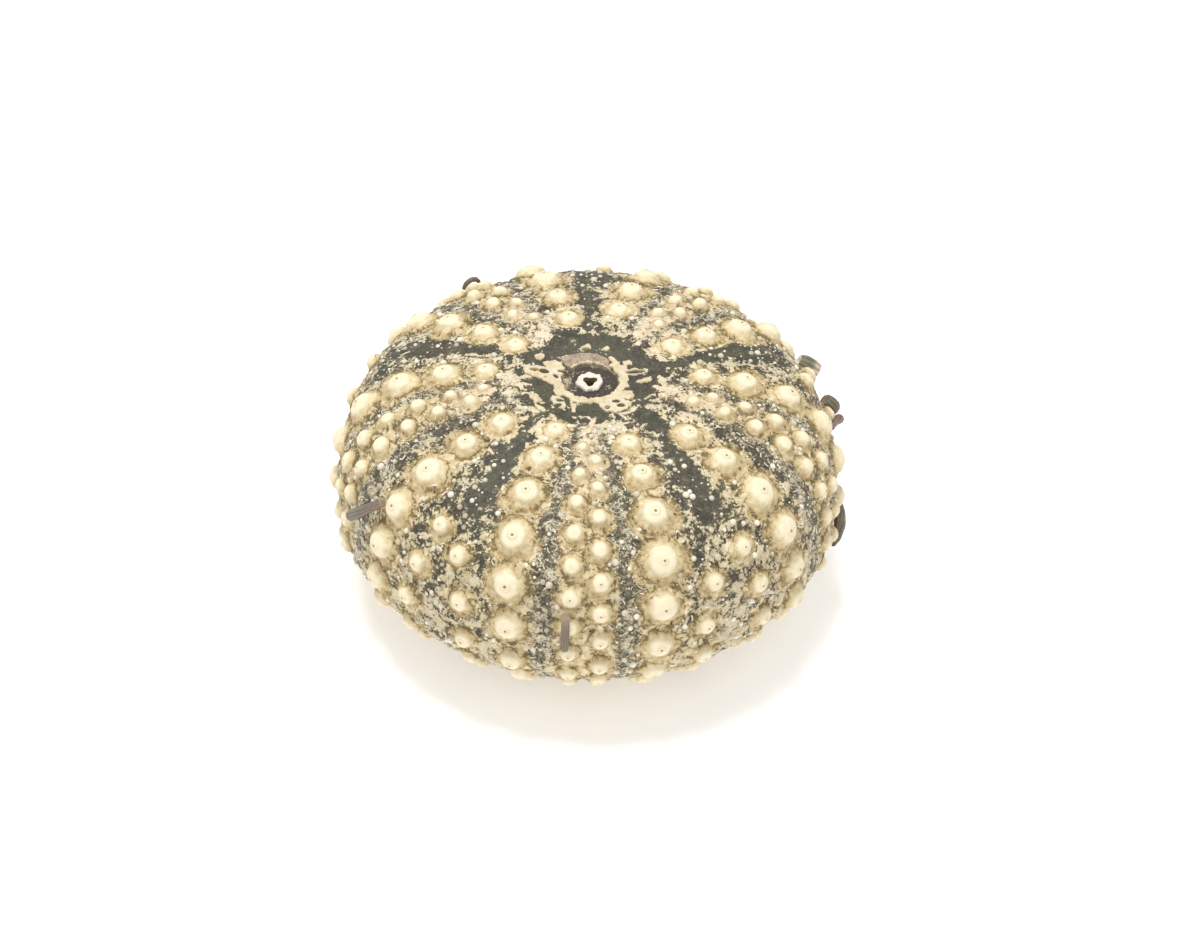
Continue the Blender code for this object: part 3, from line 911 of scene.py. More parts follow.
def shell_material(colours):
    """Cream crust and tubercles on dark greenish plates, with lacy pore zones and olive outlines."""
    material, graph, shader, place = new_material("shell calcite")
    share, down = field(graph, "share"), field(graph, "down")
    ray, band, column = field(graph, "ray"), field(graph, "band"), field(graph, "column")
    arc = field(graph, "arc") / MM
    wide = graph.speckle(place, 330.0, 2.0)
    patchy = graph.speckle(place, 850.0, 3.0, 0.6, 0.5)
    soft = graph.speckle(place, 1500.0, 2.0)
    fine = graph.speckle(place, 2600.0, 3.0, 0.65)
    grit = graph.speckle(place, 3600.0, 4.0, 0.75)

    # Zones: the rays' middles, the lacy pore zones, the large columns, the naked bands, the low flank
    spread = arc.smooth(4.0, 30.0)
    off_ray = ray + wide * 0.30 + patchy * 0.35
    middle = (off_ray / (spread * 0.90 + 0.34)).smooth(3.5, 2.2) * (arc + patchy * 0.9).smooth(6.0, 7.0)
    side = off_ray / (spread * 0.80 + 0.20)
    lace_zone = side.smooth(2.5, 3.3) * side.smooth(6.6, 5.3) * arc.smooth(7.0, 9.0)
    beside = column.smooth(2.8, 1.4)
    naked = band + wide * 0.90 + patchy * 1.10 + fine * 0.3 - arc.smooth(9.0, 18.0) * 0.9
    bare = naked.smooth(1.00, 0.40) * arc.smooth(26.0, 19.0)
    low = arc.smooth(24.0, 40.0)
    near_disc = (arc + patchy * 2.2 + wide * 1.2).smooth(8.0, 6.8)

    # The cream crust: sure on the tubercles, likely in some zones, ragged everywhere
    away = share - field(graph, "reach") + wide * 0.8 + patchy * 0.9 + fine * 0.2 - down.larger(-1.2) * 0.16
    areole = away.smooth(0.75, -0.10)
    zone = arc.smooth(21.0, 13.0) * 0.08 + low * 0.27 + middle * 0.20 + beside * 0.12
    zone = zone - lace_zone * 0.24 + 0.36
    zone = graph.between(bare, zone, -0.30) - near_disc * 0.6
    broken = wide * 0.30 + patchy * 0.70 + fine * 0.60 + grit * 0.30
    likely = areole.larger(zone) + broken * share.smooth(0.9, 1.5)
    crust = likely.smooth(0.43, 0.57)

    # Curly light lines and dots on the dark ground
    curled = wandering(graph, place, 0.0011)
    values = {"Vector": curled, "Scale": 2000.0}
    cells = graph.node("ShaderNodeTexVoronoi", {"feature": "DISTANCE_TO_EDGE"}, values)
    lace = (cells + fine * 0.08).smooth(0.12, 0.05)
    lace = lace * (lace_zone * 0.30 + wide * 0.35 + patchy * 0.80 + 0.02).smooth(0.20, 0.45)
    hairs = abs(graph.noise(place, 600.0, 1.0, 0.5, 1.5) - 0.5).smooth(0.015, 0.007)
    hairs = hairs * patchy.smooth(-0.15, 0.20)
    dots = graph.node("ShaderNodeTexVoronoi", None, {"Vector": curled, "Scale": 1100.0, "Randomness": 1.0})
    dots = (dots + fine * 0.05).smooth(0.24, 0.16) * wide.smooth(-0.3, 0.3)
    marks_on = lace.larger(hairs * 0.85).larger(dots) * (1.0 - bare * 0.80) * near_disc.smooth(0.6, 0.1)
    cream = crust.larger(marks_on * 0.90)

    # Tones of the crust: bright tips, tan slopes, olive outlines, and painted shade that makes each
    # tubercle's lower side, towards the mouth, more tan
    # down * 0.05 paints shade: the side of each tubercle towards the mouth turns more tan, as if lit from
    # above
    slope = share / field(graph, "reach") + patchy * 0.10 + down * 0.05
    rough = patchy * 0.55 + soft * 0.36 + grit * 0.22
    rough = rough + arc.smooth(17.0, 9.0) * 0.16 - (away - 0.10).bell(0.0, 0.16) * 0.42 + 0.50
    rough = rough - slope.bell(0.95, 0.18) * 0.18
    worth = graph.between(slope.smooth(0.38, 0.78), 1.0 + soft * 0.15, rough)
    tones = ((0.0, colours.olive), (0.25, colours.tan), (0.68, colours.cream), (1.0, colours.boss))
    light = graph.node("ShaderNodeValToRGB", {"stops": tones}, {"Fac": worth})
    light = graph.mix(middle * arc.smooth(20.0, 10.0) * 0.5 * slope.smooth(0.5, 1.0), light, colours.blush)
    veil = share.smooth(1.9, 2.6) * (1.0 - middle) * (soft * 0.8 + 0.50)
    light = graph.mix(veil, light, colours.veil)
    marking = graph.mix(grit * 0.35 + patchy * 0.3 + 0.5, colours.haze, colours.granule)
    light = graph.mix(marks_on * (1.0 - crust) * 0.9, light, marking)

    ground = graph.mix(wide * 0.40 + patchy * 0.90 + grit * 1.60 + 0.60, colours.ground_dark, colours.ground)
    ground = graph.mix((wide + patchy * 0.5).smooth(0.05, 0.5) * 0.7, ground, colours.moss)
    ground = graph.mix(lace_zone * (soft * 1.2 + 0.35), ground, colours.umber)
    hazy = (middle * 0.6 + low * 0.4 + lace_zone * 0.25) * (patchy * 1.0 + grit * 2.6 + 0.50) * (1.0 - bare)
    ground = graph.mix(hazy * (1.0 - near_disc), ground, colours.haze)
    hem = likely.smooth(0.32, 0.46) * (1.0 - near_disc)
    ground = graph.mix(hem * 0.65, ground, colours.olive)
    base = graph.mix(cream, ground, light)
    base = graph.mix(field(graph, "outside"), colours.inside, base)
    # Painted shade on the inside of the wall round the vent
    base = graph.mix(field(graph, "vent"), base, colours.vent)
    height = cream * 0.8 + soft * 0.25 + grit * 0.12 + patchy * 0.25 + lace * 0.3
    surface(graph, shader, base, graph.between(cream, 0.60, 0.78) + fine * 0.06, (0.6, 0.00012, height))
    return material


def disc_material(colours):
    """Cream plates, brownish-pink sieve plate, dark skin, white rosette, olive pores with dried skin, and
    painted shade in the dark pores and in the vent.
    """
    material, graph, shader, place = new_material("apical disc calcite")
    patchy = graph.speckle(place, 1100.0, 3.0, 0.6)
    fine = graph.speckle(place, 3800.0, 3.0, 0.6)
    plate = graph.mix(patchy * 0.45 + fine * 0.35 + 0.72, colours.tan, colours.disc)
    sieve = graph.mix(patchy * 1.2 + fine * 1.8 + 0.65, colours.sieve_dark, colours.sieve)
    left = graph.apart(place).out("X").smooth(-1.6 * MM, -3.0 * MM)
    skin = graph.mix((patchy + fine * 0.8 + left * 0.45).smooth(0.30, 0.75), colours.skin, colours.worn)
    base = graph.mix(field(graph, "skin"), colours.ground, skin)
    base = graph.mix(field(graph, "sieve"), base, sieve)
    low = (field(graph, "level") + fine * 0.04).smooth(0.14, -0.02)
    plate = graph.mix(low * 0.65, plate, colours.olive)
    base = graph.mix((field(graph, "plate") + fine * 0.1).smooth(0.35, 0.60), base, plate)
    base = graph.mix(field(graph, "rim") * 0.55, base, colours.rosette)
    # Dark pores are painted shade; tan ones are dried skin
    pore = graph.mix(field(graph, "tint").smooth(0.35, 0.95), colours.pore_tan, colours.pore)
    base = graph.mix(field(graph, "pit").smooth(0.35, 0.75), base, pore)
    rosette = graph.mix(fine * 0.5 + patchy * 0.4 + 0.80, colours.disc, colours.rosette)
    base = graph.mix(field(graph, "rosette"), base, rosette)
    # Painted shade in the vent's funnel
    base = graph.mix(field(graph, "vent").smooth(0.0, 0.3), base, colours.vent)
    surface(graph, shader, base, 0.7 + fine * 0.06, (0.5, 0.00008, patchy * 0.5 + fine))
    return material


def granule_material(colours):
    """Small white and cream granules, each with its own tone."""
    material, graph, shader, place = new_material("granule calcite")
    fine = graph.speckle(place, 2500.0, 2.0)
    base = graph.mix(field(graph, "tone") * 1.2 + fine * 0.3 - 0.1, colours.worn, colours.granule)
    surface(graph, shader, base, 0.7 + fine * 0.08)
    return material


def on_ground(graph):
    """How free a place of the shell is of tubercles, of the disc and of the rest ring."""
    clear = named(graph, "share").smooth(1.55, 1.95) * named(graph, "outside").smooth(0.90, 1.0)
    arc = named(graph, "arc") / MM
    return clear * arc.smooth(7.5, 9.5) * arc.smooth(52.5, 51.0)


def scattered(graph, given, shape, factor, size, seed):
    """Shapes on random places of the shell, turned at random on its surface, each with its tone."""
    settings = {"distribute_method": "POISSON"}
    values = {"Mesh": given["Geometry"], "Distance Min": given["Spacing"], "Density Max": given["Density"],
              "Density Factor": factor, "Seed": given["Seed"]}
    points = graph.node("GeometryNodeDistributePointsOnFaces", settings, values)
    spin = graph.random(seed + 1, 0.0, 2 * math.pi)
    about = graph.triple(0.0, 0.0, spin)
    about = graph.node("FunctionNodeEulerToRotation", None, (about,))
    values = {"Rotation": points.out("Rotation"), "Rotate By": about}
    turn = graph.node("FunctionNodeRotateRotation", {"rotation_space": "LOCAL"}, values)
    values = {"Points": points, "Instance": shape, "Rotation": turn, "Scale": size}
    placed = graph.node("GeometryNodeInstanceOnPoints", None, values)
    placed = store(graph, placed, "tone", graph.random(seed + 2, 0.0, 1.0), "INSTANCE")
    made = graph.node("GeometryNodeRealizeInstances", None, (placed,))
    end_piece(graph, made, given)


def granule_tree():
    """Node tree that scatters round granules over the shell where its plates are rough."""
    sockets = (
        ("Seed", INT_SOCKET, 4),
        ("Spacing", FLOAT_SOCKET, GRANULE_SPACING),
        ("Density", FLOAT_SOCKET, 2.4e6),
        ("Smallest", FLOAT_SOCKET, 0.00012),
        ("Largest", FLOAT_SOCKET, GRANULE_LARGEST),
        ("Finish", MATERIAL_SOCKET, None),
    )
    tree, graph, given = new_tree("granules", sockets)
    band, arc = named(graph, "band"), named(graph, "arc") / MM
    place = graph.node("GeometryNodeInputPosition")
    patchy = graph.speckle(place, 420.0, 2.0)
    naked = band.smooth(1.7, 0.6) * arc.smooth(17.0, 10.0)
    factor = on_ground(graph) * (1.0 - naked * 0.80) * (patchy * 0.6 + 0.60)
    grain = graph.node("GeometryNodeMeshUVSphere", None, {"Segments": 8, "Rings": 5, "Radius": 1.0})
    size = graph.between(graph.random(11, 0.0, 1.0) ** 4.0, given["Smallest"], given["Largest"])
    scattered(graph, given, grain, factor, graph.triple(size, size, size * 0.8), 31)
    return tree


def thread_tree():
    """Node tree that lays short curled threads of crust on the pore zones and the rough plates."""
    sockets = (
        ("Seed", INT_SOCKET, 9),
        ("Spacing", FLOAT_SOCKET, THREAD_SPACING),
        ("Density", FLOAT_SOCKET, 3.0e6),
        ("Smallest", FLOAT_SOCKET, 0.00030),
        ("Largest", FLOAT_SOCKET, THREAD_LARGEST),
        ("Thickness", FLOAT_SOCKET, 0.12),
        ("Sweep", FLOAT_SOCKET, 0.85),
        ("Finish", MATERIAL_SOCKET, None),
    )
    tree, graph, given = new_tree("threads", sockets)
    band, ray, arc = named(graph, "band"), named(graph, "ray"), named(graph, "arc") / MM
    place = graph.node("GeometryNodeInputPosition")
    patchy = graph.speckle(place, 500.0, 2.0)
    spread = arc.smooth(4.0, 30.0) * 0.8 + 0.2
    zone = (ray / spread).smooth(2.3, 3.0) * (ray / spread).smooth(6.8, 5.5)
    naked = band.smooth(1.9, 0.9) * arc.smooth(25.0, 20.0)
    factor = on_ground(graph) * (zone * 0.65 + patchy * 0.45 + 0.16) * (1.0 - naked * 0.8)
    values = {"Resolution": 7, "Radius": 1.0, "Sweep Angle": given["Sweep"]}
    bow = graph.node("GeometryNodeCurveArc", None, values)
    values = {"Resolution": 4, "Radius": given["Thickness"]}
    ring = graph.node("GeometryNodeCurvePrimitiveCircle", None, values)
    values = {"Curve": bow, "Profile Curve": ring, "Fill Caps": True}
    thread = graph.node("GeometryNodeCurveToMesh", None, values)
    size = graph.between(graph.random(17, 0.0, 1.0) ** 1.6, given["Smallest"], given["Largest"])
    scattered(graph, given, thread, factor, graph.triple(size, size, size), 41)
    return tree


def facing(azimuth, arc, spin):
    """Euler angles that stand a shape on the shell and turn it by spin about its own axis."""
    angles = []
    for direction, turn in zip(CREST.out(azimuth, arc), spin):
        quaternion = Vector(direction).to_track_quat("Z", "Y")
        matrix = quaternion.to_matrix() @ Matrix.Rotation(turn, 3, "Z")
        angles.append(matrix.to_euler())
    return np.array(angles)


def stand_tree(name):
    """Node tree that stands one shape on every mark, by the mark's own turn and size."""
    sockets = (("Shape", OBJECT_SOCKET, None), ("Finish", MATERIAL_SOCKET, None))
    tree, graph, given = new_tree(name, sockets)
    values = {"Object": given["Shape"]}
    shape = graph.node("GeometryNodeObjectInfo", {"transform_space": "ORIGINAL"}, values).out("Geometry")
    points = graph.node("GeometryNodeMeshToPoints", None, {"Mesh": given["Geometry"]})
    rotation = graph.node("FunctionNodeEulerToRotation", None, (named(graph, "turn", "FLOAT_VECTOR"),))
    size = named(graph, "size")
    size = graph.triple(size, size, size)
    values = {"Points": points, "Instance": shape, "Rotation": rotation, "Scale": size}
    placed = graph.node("GeometryNodeInstanceOnPoints", None, values)
    end_piece(graph, graph.node("GeometryNodeRealizeInstances", None, (placed,)), given)
    return tree


def lathe(name, profile, steps):
    """A closed solid from a profile of (radius, height) pairs that starts and ends on the axis."""
    inner = profile[1:-1]
    verts = [(0.0, 0.0, profile[0][1])]
    for radius, height in inner:
        for step in range(steps):
            angle = 2 * math.pi * step / steps
            verts.append((radius * math.cos(angle), radius * math.sin(angle), height))
    verts.append((0.0, 0.0, profile[-1][1]))
    last = len(verts) - 1
    faces = []
    for step in range(steps):
        after = (step + 1) % steps
        faces.append((0, 1 + step, 1 + after))
        for ring in range(len(inner) - 1):
            low = 1 + ring * steps
            high = low + steps
            faces.append((low + step, high + step, high + after, low + after))
        top = 1 + (len(inner) - 1) * steps
        faces.append((top + step, last, top + after))
    mesh = bpy.data.meshes.new(name)
    mesh.from_pydata(verts, [], faces)
    mesh.update()
    return link(bpy.data.objects.new(name, mesh))


def mamelon_material(colours):
    """Polished tips of the tubercles, with painted shade as an olive dot in the pit in the middle of each.
    """
    material, graph, shader, place = new_material("mamelon calcite")
    fine = graph.speckle(place, 1800.0, 2.0)
    base = graph.mix(fine * 0.3 + 0.7, colours.cream, colours.boss)
    # The pit is painted olive as shade; the mesh only dips a little there
    base = graph.mix(field(graph, "depth").smooth(0.2, 1.0) * 0.85, base, colours.olive)
    surface(graph, shader, base, 0.6 + fine * 0.08)
    return material


def spine_material(name, turns, first, last, face):
    """Weathered spine: fine lengthwise streaks, painted shade in the grooves, with a paler broken end."""
    material, graph, shader, place = new_material(name)
    patchy = graph.noise(place, 1100.0, 3.0, 0.6) - 0.5
    fine = graph.noise(place, 4200.0, 2.0) - 0.5
    turned = (field(graph, "along") + patchy * 0.3).smooth(turns - 0.15, turns + 0.15)
    base = graph.mix(turned, first, last)
    # A darker copy of the spine's colour is painted into the flutes as shade
    dark = tuple(value * 0.35 for value in first)
    base = graph.mix(field(graph, "groove") * 0.7 + patchy * 0.5, base, dark)
    base = graph.mix(field(graph, "face") * (0.9 + patchy), base, face)
    base = graph.mix((fine + 0.5).smooth(0.62, 0.75) * 0.5, base, (0.42, 0.36, 0.26))
    shader.inputs["Specular IOR Level"].default_value = 0.45
    surface(graph, shader, base, 0.5 + patchy * 0.4, (0.5, 0.00006, fine + patchy))
    return material


def make_spine(name):
    """A fluted, broken spine along its points, with rough end faces."""
    settle, turns, first, last, face = SPINE_LOOKS[name]
    angle, arc, lift, radius = np.array(SPINES[name]).T
    through = CREST.place(np.radians(angle), arc, lift - settle)
    rings, around = SPINE_RINGS, SPINE_AROUND
    marks_at = np.linspace(0.0, 1.0, len(through))
    read_at = np.linspace(0.0, 1.0, rings)
    line = np.stack([np.interp(read_at, marks_at, through[:, axis]) for axis in range(3)], 1)
    kernel = np.array([1, 2, 3, 2, 1]) / 9
    padded = np.pad(line, ((2, 2), (0, 0)), mode="edge")
    smooth = np.stack([np.convolve(padded[:, axis], kernel, "valid") for axis in range(3)], 1)
    smooth[[0, -1]] = line[[0, -1]]
    size = np.interp(read_at, marks_at, radius)
    ahead = np.gradient(smooth, axis=0)
    ahead /= np.linalg.norm(ahead, axis=1)[:, None]
    side = np.cross(ahead, [0.3, 0.2, 0.93])
    side /= np.linalg.norm(side, axis=1)[:, None]
    over = np.cross(ahead, side)
    draw = np.random.default_rng(len(name))
    theta = np.linspace(0, 2 * math.pi, around, endpoint=False)
    flutes = 0.5 + 0.5 * np.cos(SPINE_FLUTES * theta)
    verts, caps = [], []
    for step in range(rings):
        wave = 1.0 - 0.07 * flutes + draw.normal(0, 0.012, around)
        if step in (0, rings - 1):
            wave *= 0.94
        ring = np.outer(np.cos(theta) * wave, side[step]) + np.outer(np.sin(theta) * wave, over[step])
        verts.append(smooth[step] + size[step] * ring)
    for step, outward in ((0, -1.0), (rings - 1, 1.0)):
        cap = []
        for share in SPINE_CAPS:
            jag = draw.normal(0, 0.06, around) * size[step]
            ring = np.outer(np.cos(theta), side[step]) + np.outer(np.sin(theta), over[step])
            cap.append(smooth[step] + size[step] * share * ring + np.outer(jag, outward * ahead[step]))
        cap.append(smooth[step][None] - outward * ahead[step] * size[step] * 0.12)
        caps.append(cap)
    rows = caps[0][::-1] + verts + caps[1]
    widths = [len(row) for row in rows]
    cap_rows = len(SPINE_CAPS) + 1
    at_end = np.ones(len(rows))
    at_end[cap_rows + 1:-cap_rows - 1] = 0.0
    flat = np.zeros(sum(widths[:cap_rows]))
    tags = {
        "along": np.repeat(np.pad(read_at, cap_rows, mode="edge"), widths),
        "groove": np.concatenate([flat, np.tile(flutes, rings), flat]),
        "face": np.repeat(at_end, widths),
    }
    starts = np.cumsum([0] + widths)
    faces = []
    for index in range(len(rows) - 1):
        low, high = starts[index], starts[index + 1]
        for step in range(around):
            after = (step + 1) % around
            if len(rows[index]) == 1:
                faces.append((low, high + after, high + step))
            elif len(rows[index + 1]) == 1:
                faces.append((low + step, low + after, high))
            else:
                faces.append((low + step, low + after, high + after, high + step))
    mesh = bpy.data.meshes.new(name + "_finish")
    mesh.from_pydata(np.concatenate(rows).tolist(), [], [[int(i) for i in face] for face in faces])
    for key, values in tags.items():
        mesh.attributes.new(key, "FLOAT", "POINT").data.foreach_set("value", values)
    mesh.shade_smooth()
    mesh.update()
    obj = link(bpy.data.objects.new(name + "_finish", mesh))
    obj.data.materials.append(spine_material(name + " calcite", turns, first, last, face))
    return finish_piece(obj, "spine", name)


def colour(name, value, text):
    return bpy.props.FloatVectorProperty(name=name, description=text, default=value, subtype="COLOR", size=3,
                                         min=0.0, max=1.0)


def length(name, value, text):
    return bpy.props.FloatProperty(name=name, description=text, default=value, subtype="DISTANCE",
                                   unit="LENGTH", precision=6)


class UrchinColours(bpy.types.PropertyGroup):
    """Colours of the shell's finish."""

    boss: colour("Boss", (0.83, 0.735, 0.53), "Domes of the tubercles")
    cream: colour("Cream", (0.67, 0.56, 0.345), "Light parts of the crust")
    tan: colour("Tan", (0.46, 0.345, 0.175), "Worn parts of the crust")
    blush: colour("Blush", (0.66, 0.54, 0.40), "Pinkish crust on the upper ends of the rays")
    olive: colour("Olive", (0.19, 0.145, 0.066), "Outlines round the areoles")
    haze: colour("Haze", (0.36, 0.31, 0.20), "Thin crust on the plates")
    moss: colour("Moss", (0.078, 0.086, 0.048), "Greenish naked plates")
    ground: colour("Ground", (0.104, 0.093, 0.063), "Naked plates")
    ground_dark: colour("Dark ground", (0.050, 0.046, 0.034), "Darkest naked plates")
    umber: colour("Umber", (0.088, 0.066, 0.040), "Brownish plates in the pore zones")
    veil: colour("Veil", (0.56, 0.50, 0.37), "Thin greyish crust between the tubercles")
    disc: colour("Disc", (0.74, 0.64, 0.44), "Plates of the apical disc")
    sieve: colour("Sieve plate", (0.43, 0.345, 0.24), "Light parts of the sieve plate")
    sieve_dark: colour("Dark sieve plate", (0.27, 0.20, 0.155), "Dark parts of the sieve plate")
    rosette: colour("Rosette", (0.72, 0.685, 0.61), "White scales round the vent")
    skin: colour("Skin", (0.066, 0.052, 0.044), "Dried skin round the rosette")
    # Pore is the painted shade in the dark pores
    pore: colour("Pore", (0.085, 0.070, 0.045), "Dark pores")
    pore_tan: colour("Tan pore", (0.36, 0.24, 0.09), "Pores with dried skin")
    # Vent is painted shade in the vent's funnel and on the wall round it
    vent: colour("Vent", (0.085, 0.050, 0.025), "Painted shade in and round the vent")
    worn: colour("Worn granule", (0.44, 0.37, 0.25), "Darker granules and threads")
    granule: colour("Granule", (0.80, 0.76, 0.63), "Small granules")
    inside: colour("Inside", (0.42, 0.38, 0.28), "Smooth inner face of the wall")


class UrchinSizes(bpy.types.PropertyGroup):
    """Sizes of the shell's relief."""

    areole_depth: length("Areole depth", AREOLE_DEPTH, "Depth of the moat round each tubercle")
    crust_grain: length("Crust grain", CRUST_GRAIN, "Height of the crust's fine lumps")
    granule_spacing: length("Granule spacing", GRANULE_SPACING, "Least distance between granules")
    granule_largest: length("Largest granule", GRANULE_LARGEST, "Radius of the largest granules")
    thread_spacing: length("Thread spacing", THREAD_SPACING, "Least distance between threads")
    thread_largest: length("Largest thread", THREAD_LARGEST, "Bend radius of the largest threads")


class URCHIN_OT_shell(bpy.types.Operator):
    """Build the shell's wall with its tubercles and apical disc"""

    bl_idname = "urchin.shell"
    bl_label = "Shell"

    def execute(self, context):
        sizes = context.scene.urchin_sizes
        clouds = tubercle_marks()
        obj = turned_wall("shell")
        values = {
            "Primary": clouds["primary"],
            "Secondary": clouds["secondary"],
            "Ambulacral": clouds["ambulacral"],
            "Areole Depth": sizes.areole_depth,
            "Crust Grain": sizes.crust_grain,
        }
        add_tree(obj, relief_tree(), values)
        bake_modifiers(obj)
        obj.data.calc_loop_triangles()
        thin = obj.modifiers.new("thin", "DECIMATE")
        thin.ratio = min(SHELL_TRIANGLES / len(obj.data.loop_triangles), 1.0)
        bake_modifiers(obj)
        open_vent(obj)
        obj.data.shade_smooth()
        obj.data.materials.clear()
        obj.data.materials.append(shell_material(context.scene.urchin_colours))
        finish_piece(obj, "shell", "test")
        drop(*clouds.values())
        return {"FINISHED"}


class URCHIN_OT_mamelons(bpy.types.Operator):
    """Set a small ringed tip on every tubercle"""

    bl_idname = "urchin.mamelons"
    bl_label = "Mamelons"

    def execute(self, context):
        rows = np.concatenate(list(tubercles().values()))
        azimuth, arc, dome = rows.T
        draw = np.random.default_rng(3)
        height = rise_at(arc) * (dome / LARGEST_DOME) ** RISE_POWER
        places = CREST.place(azimuth, arc, height * (BALL_SHARE + SKIRT_SHARE) - rise_at(arc))
        turn = facing(azimuth, arc, draw.uniform(0, math.pi, len(rows)))
        cloud = marks("mamelons", places, {"turn": turn, "size": dome * draw.uniform(0.85, 1.05, len(rows))})
        shape = lathe("mamelon shape", MAMELON_PROFILE, MAMELON_STEPS)
        radius = np.array([math.hypot(*vert.co[:2]) for vert in shape.data.vertices])
        # Marks the pit, where the finish paints shade
        in_pit = (radius < PIT_RADIUS) * 1.0
        shape.data.attributes.new("depth", "FLOAT", "POINT").data.foreach_set("value", in_pit)
        tree = stand_tree("mamelons on tubercles")
        add_tree(cloud, tree, {"Shape": shape, "Finish": mamelon_material(context.scene.urchin_colours)})
        bake_modifiers(cloud)
        finish_piece(cloud, "shell")
        drop(shape)
        return {"FINISHED"}


def build_on_shell(name, tree, values):
    """A piece that a node tree lays on a copy of the shell's surface."""
    obj = link(bpy.data.objects.new(name, bpy.data.objects["shell"].data.copy()))
    add_tree(obj, tree, values)
    bake_modifiers(obj)
    return finish_piece(obj, "shell")


class URCHIN_OT_disc(bpy.types.Operator):
    """Build the apical disc's ring, star lobes, sieve plate, skin and rosette"""

    bl_idname = "urchin.disc"
    bl_label = "Apical disc"

    def execute(self, context):
        mesh = bpy.data.meshes.new("apical_disc")
        obj = link(bpy.data.objects.new("apical_disc", mesh))
        steps = DISC_STEPS // 1
        values = {"Steps": steps, "Finish": disc_material(context.scene.urchin_colours)}
        add_tree(obj, disc_tree(), values)
        bake_modifiers(obj)
        finish_piece(obj, "shell")
        return {"FINISHED"}


class URCHIN_OT_granules(bpy.types.Operator):
    """Scatter small granules over the rough plates"""

    bl_idname = "urchin.granules"
    bl_label = "Granules"

    def execute(self, context):
        sizes = context.scene.urchin_sizes
        values = {
            "Spacing": sizes.granule_spacing,
            "Largest": sizes.granule_largest,
            "Finish": granule_material(context.scene.urchin_colours),
        }
        build_on_shell("granules", granule_tree(), values)
        return {"FINISHED"}


class URCHIN_OT_threads(bpy.types.Operator):
    """Lay short curled threads on the pore zones"""

    bl_idname = "urchin.threads"
    bl_label = "Threads"

    def execute(self, context):
        sizes = context.scene.urchin_sizes
        values = {
            "Spacing": sizes.thread_spacing,
            "Largest": sizes.thread_largest,
            "Finish": granule_material(context.scene.urchin_colours),
        }
        build_on_shell("threads", thread_tree(), values)
        return {"FINISHED"}


class URCHIN_OT_spines(bpy.types.Operator):
    """Build the broken spines that are still on the shell"""

    bl_idname = "urchin.spines"
    bl_label = "Broken spines"

    def execute(self, context):
        for name in SPINES:
            make_spine(name)
        return {"FINISHED"}


class URCHIN_OT_stage(bpy.types.Operator):
    """Set up the floor, the soft light and the camera"""

    bl_idname = "urchin.stage"
    bl_label = "Stage"

    def execute(self, context):
        make_floor()
        make_lights()
        make_camera()
        return {"FINISHED"}


def make_floor():
    """A plain pale floor at the height of the rest ring."""
    mesh = bpy.data.meshes.new("floor")
    corners = [(x * FLOOR_HALF, y * FLOOR_HALF, 0.0) for x, y in ((-1, -1), (1, -1), (1, 1), (-1, 1))]
    mesh.from_pydata(corners, [], [(0, 1, 2, 3)])
    floor = link(bpy.data.objects.new("floor", mesh))
    material = bpy.data.materials.new("floor paper")
    material.use_nodes = True
    shader = material.node_tree.nodes["Principled BSDF"]
    shader.inputs["Base Color"].default_value = (0.93, 0.93, 0.93, 1.0)
    shader.inputs["Roughness"].default_value = 0.9
    shader.inputs["Specular IOR Level"].default_value = 0.1
    shader.inputs["Emission Color"].default_value = (1.0, 1.0, 1.0, 1.0)
    shader.inputs["Emission Strength"].default_value = FLOOR_GLOW
    mesh.materials.append(material)


def make_lights():
    """A large soft lamp over the front and an even white surround."""
    world = bpy.data.worlds.new("studio")
    bpy.context.scene.world = world
    world.use_nodes = True
    background = world.node_tree.nodes["Background"]
    background.inputs["Color"].default_value = (1.0, 1.0, 1.0, 1.0)
    background.inputs["Strength"].default_value = SURROUND
    for name, place, size, power in LAMPS:
        lamp = bpy.data.lights.new(name, "AREA")
        lamp.shape = "DISK"
        lamp.size = size
        lamp.energy = power
        obj = link(bpy.data.objects.new(name, lamp))
        obj.location = place
        obj.rotation_euler = (Vector((0, 0, 0.01)) - Vector(place)).to_track_quat("-Z", "Y").to_euler()
    view = bpy.context.scene.view_settings
    view.view_transform = "Standard"
    view.look = "None"


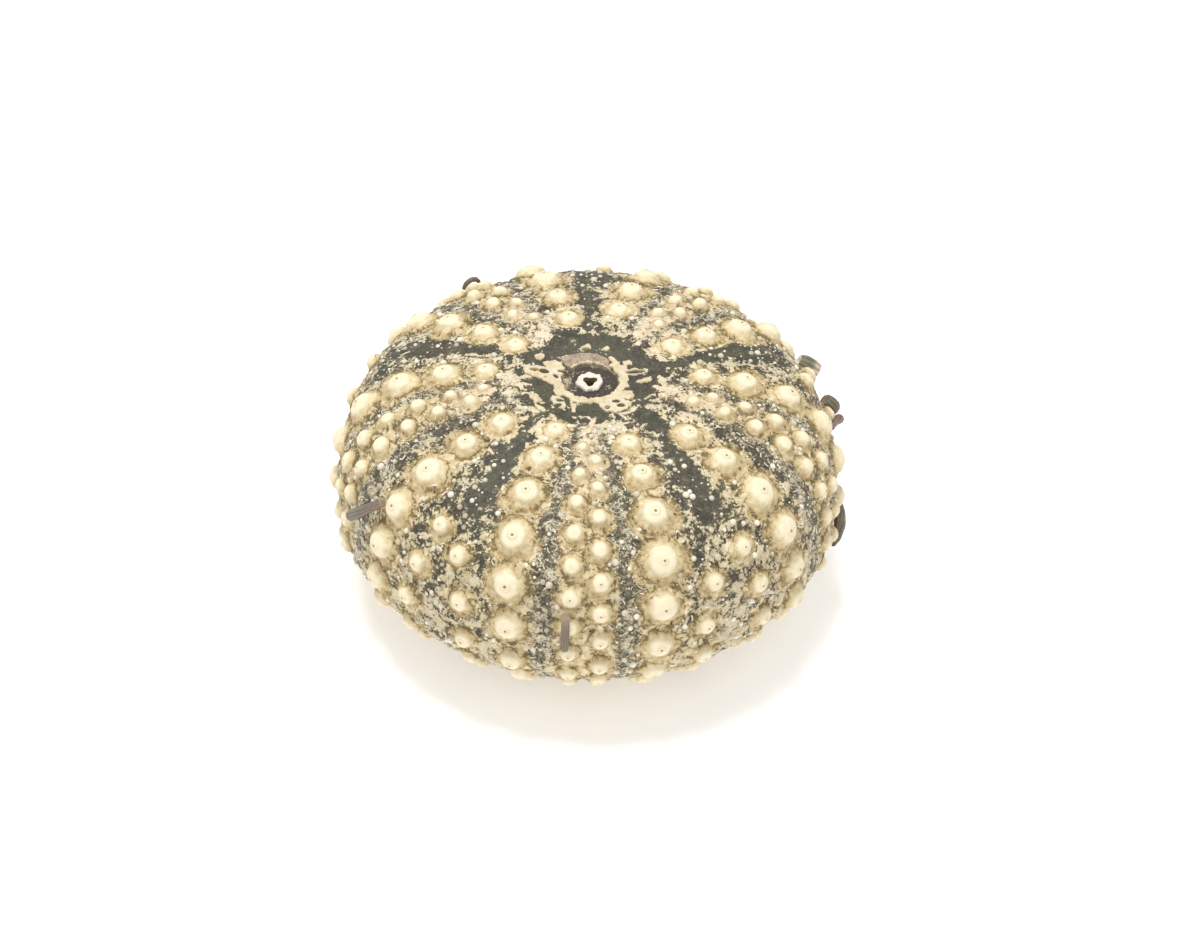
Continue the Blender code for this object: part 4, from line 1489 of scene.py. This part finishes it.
def make_camera():
    """The photograph's viewing angle, on the tilt at which the shell was seen."""
    camera = bpy.data.cameras.new("camera")
    camera.lens = CAMERA_LENS
    camera.sensor_width = SENSOR
    obj = link(bpy.data.objects.new("camera", camera))
    back = Vector((0.0, -math.cos(CAMERA_LIFT), math.sin(CAMERA_LIFT)))
    right = Vector((1.0, 0.0, 0.0))
    up = back.cross(right)
    at = back * CAMERA_DISTANCE + right * CAMERA_SIDE + up * CAMERA_RISE
    turn = Matrix((right, up, back)).transposed()
    seen = Matrix.Translation(at) @ turn.to_4x4()
    centre = Matrix.Translation((AXIS_PLACE[0], AXIS_PLACE[1], BASE_DEPTH))
    turned = Matrix.Rotation(-SHELL_TURN, 4, "Z") @ Matrix.Rotation(-SHELL_LEAN, 4, "Y")
    obj.matrix_world = centre @ turned @ seen
    bpy.context.scene.camera = obj


class URCHIN_PT_build(bpy.types.Panel):
    """The urchin's build steps, sizes and colours"""

    bl_idname = "URCHIN_PT_build"
    bl_label = "Sea Urchin Shell"
    bl_space_type = "VIEW_3D"
    bl_region_type = "UI"
    bl_category = "Urchin"

    def draw(self, context):
        for step in STEPS:
            self.layout.operator(step.bl_idname)
        for group in (context.scene.urchin_sizes, context.scene.urchin_colours):
            for key in group.__annotations__:
                self.layout.prop(group, key)


STEPS = (
    URCHIN_OT_shell,
    URCHIN_OT_disc,
    URCHIN_OT_mamelons,
    URCHIN_OT_granules,
    URCHIN_OT_threads,
    URCHIN_OT_spines,
    URCHIN_OT_stage,
)
CLASSES = (UrchinColours, UrchinSizes, *STEPS, URCHIN_PT_build)


def register():
    for cls in CLASSES:
        bpy.utils.register_class(cls)
    bpy.types.Scene.urchin_colours = bpy.props.PointerProperty(type=UrchinColours)
    bpy.types.Scene.urchin_sizes = bpy.props.PointerProperty(type=UrchinSizes)


def unregister():
    del bpy.types.Scene.urchin_sizes
    del bpy.types.Scene.urchin_colours
    for cls in reversed(CLASSES):
        bpy.utils.unregister_class(cls)


def main():
    register()
    for step in STEPS:
        area, name = step.bl_idname.split(".")
        getattr(getattr(bpy.ops, area), name)()


if __name__ == "__main__":
    main()
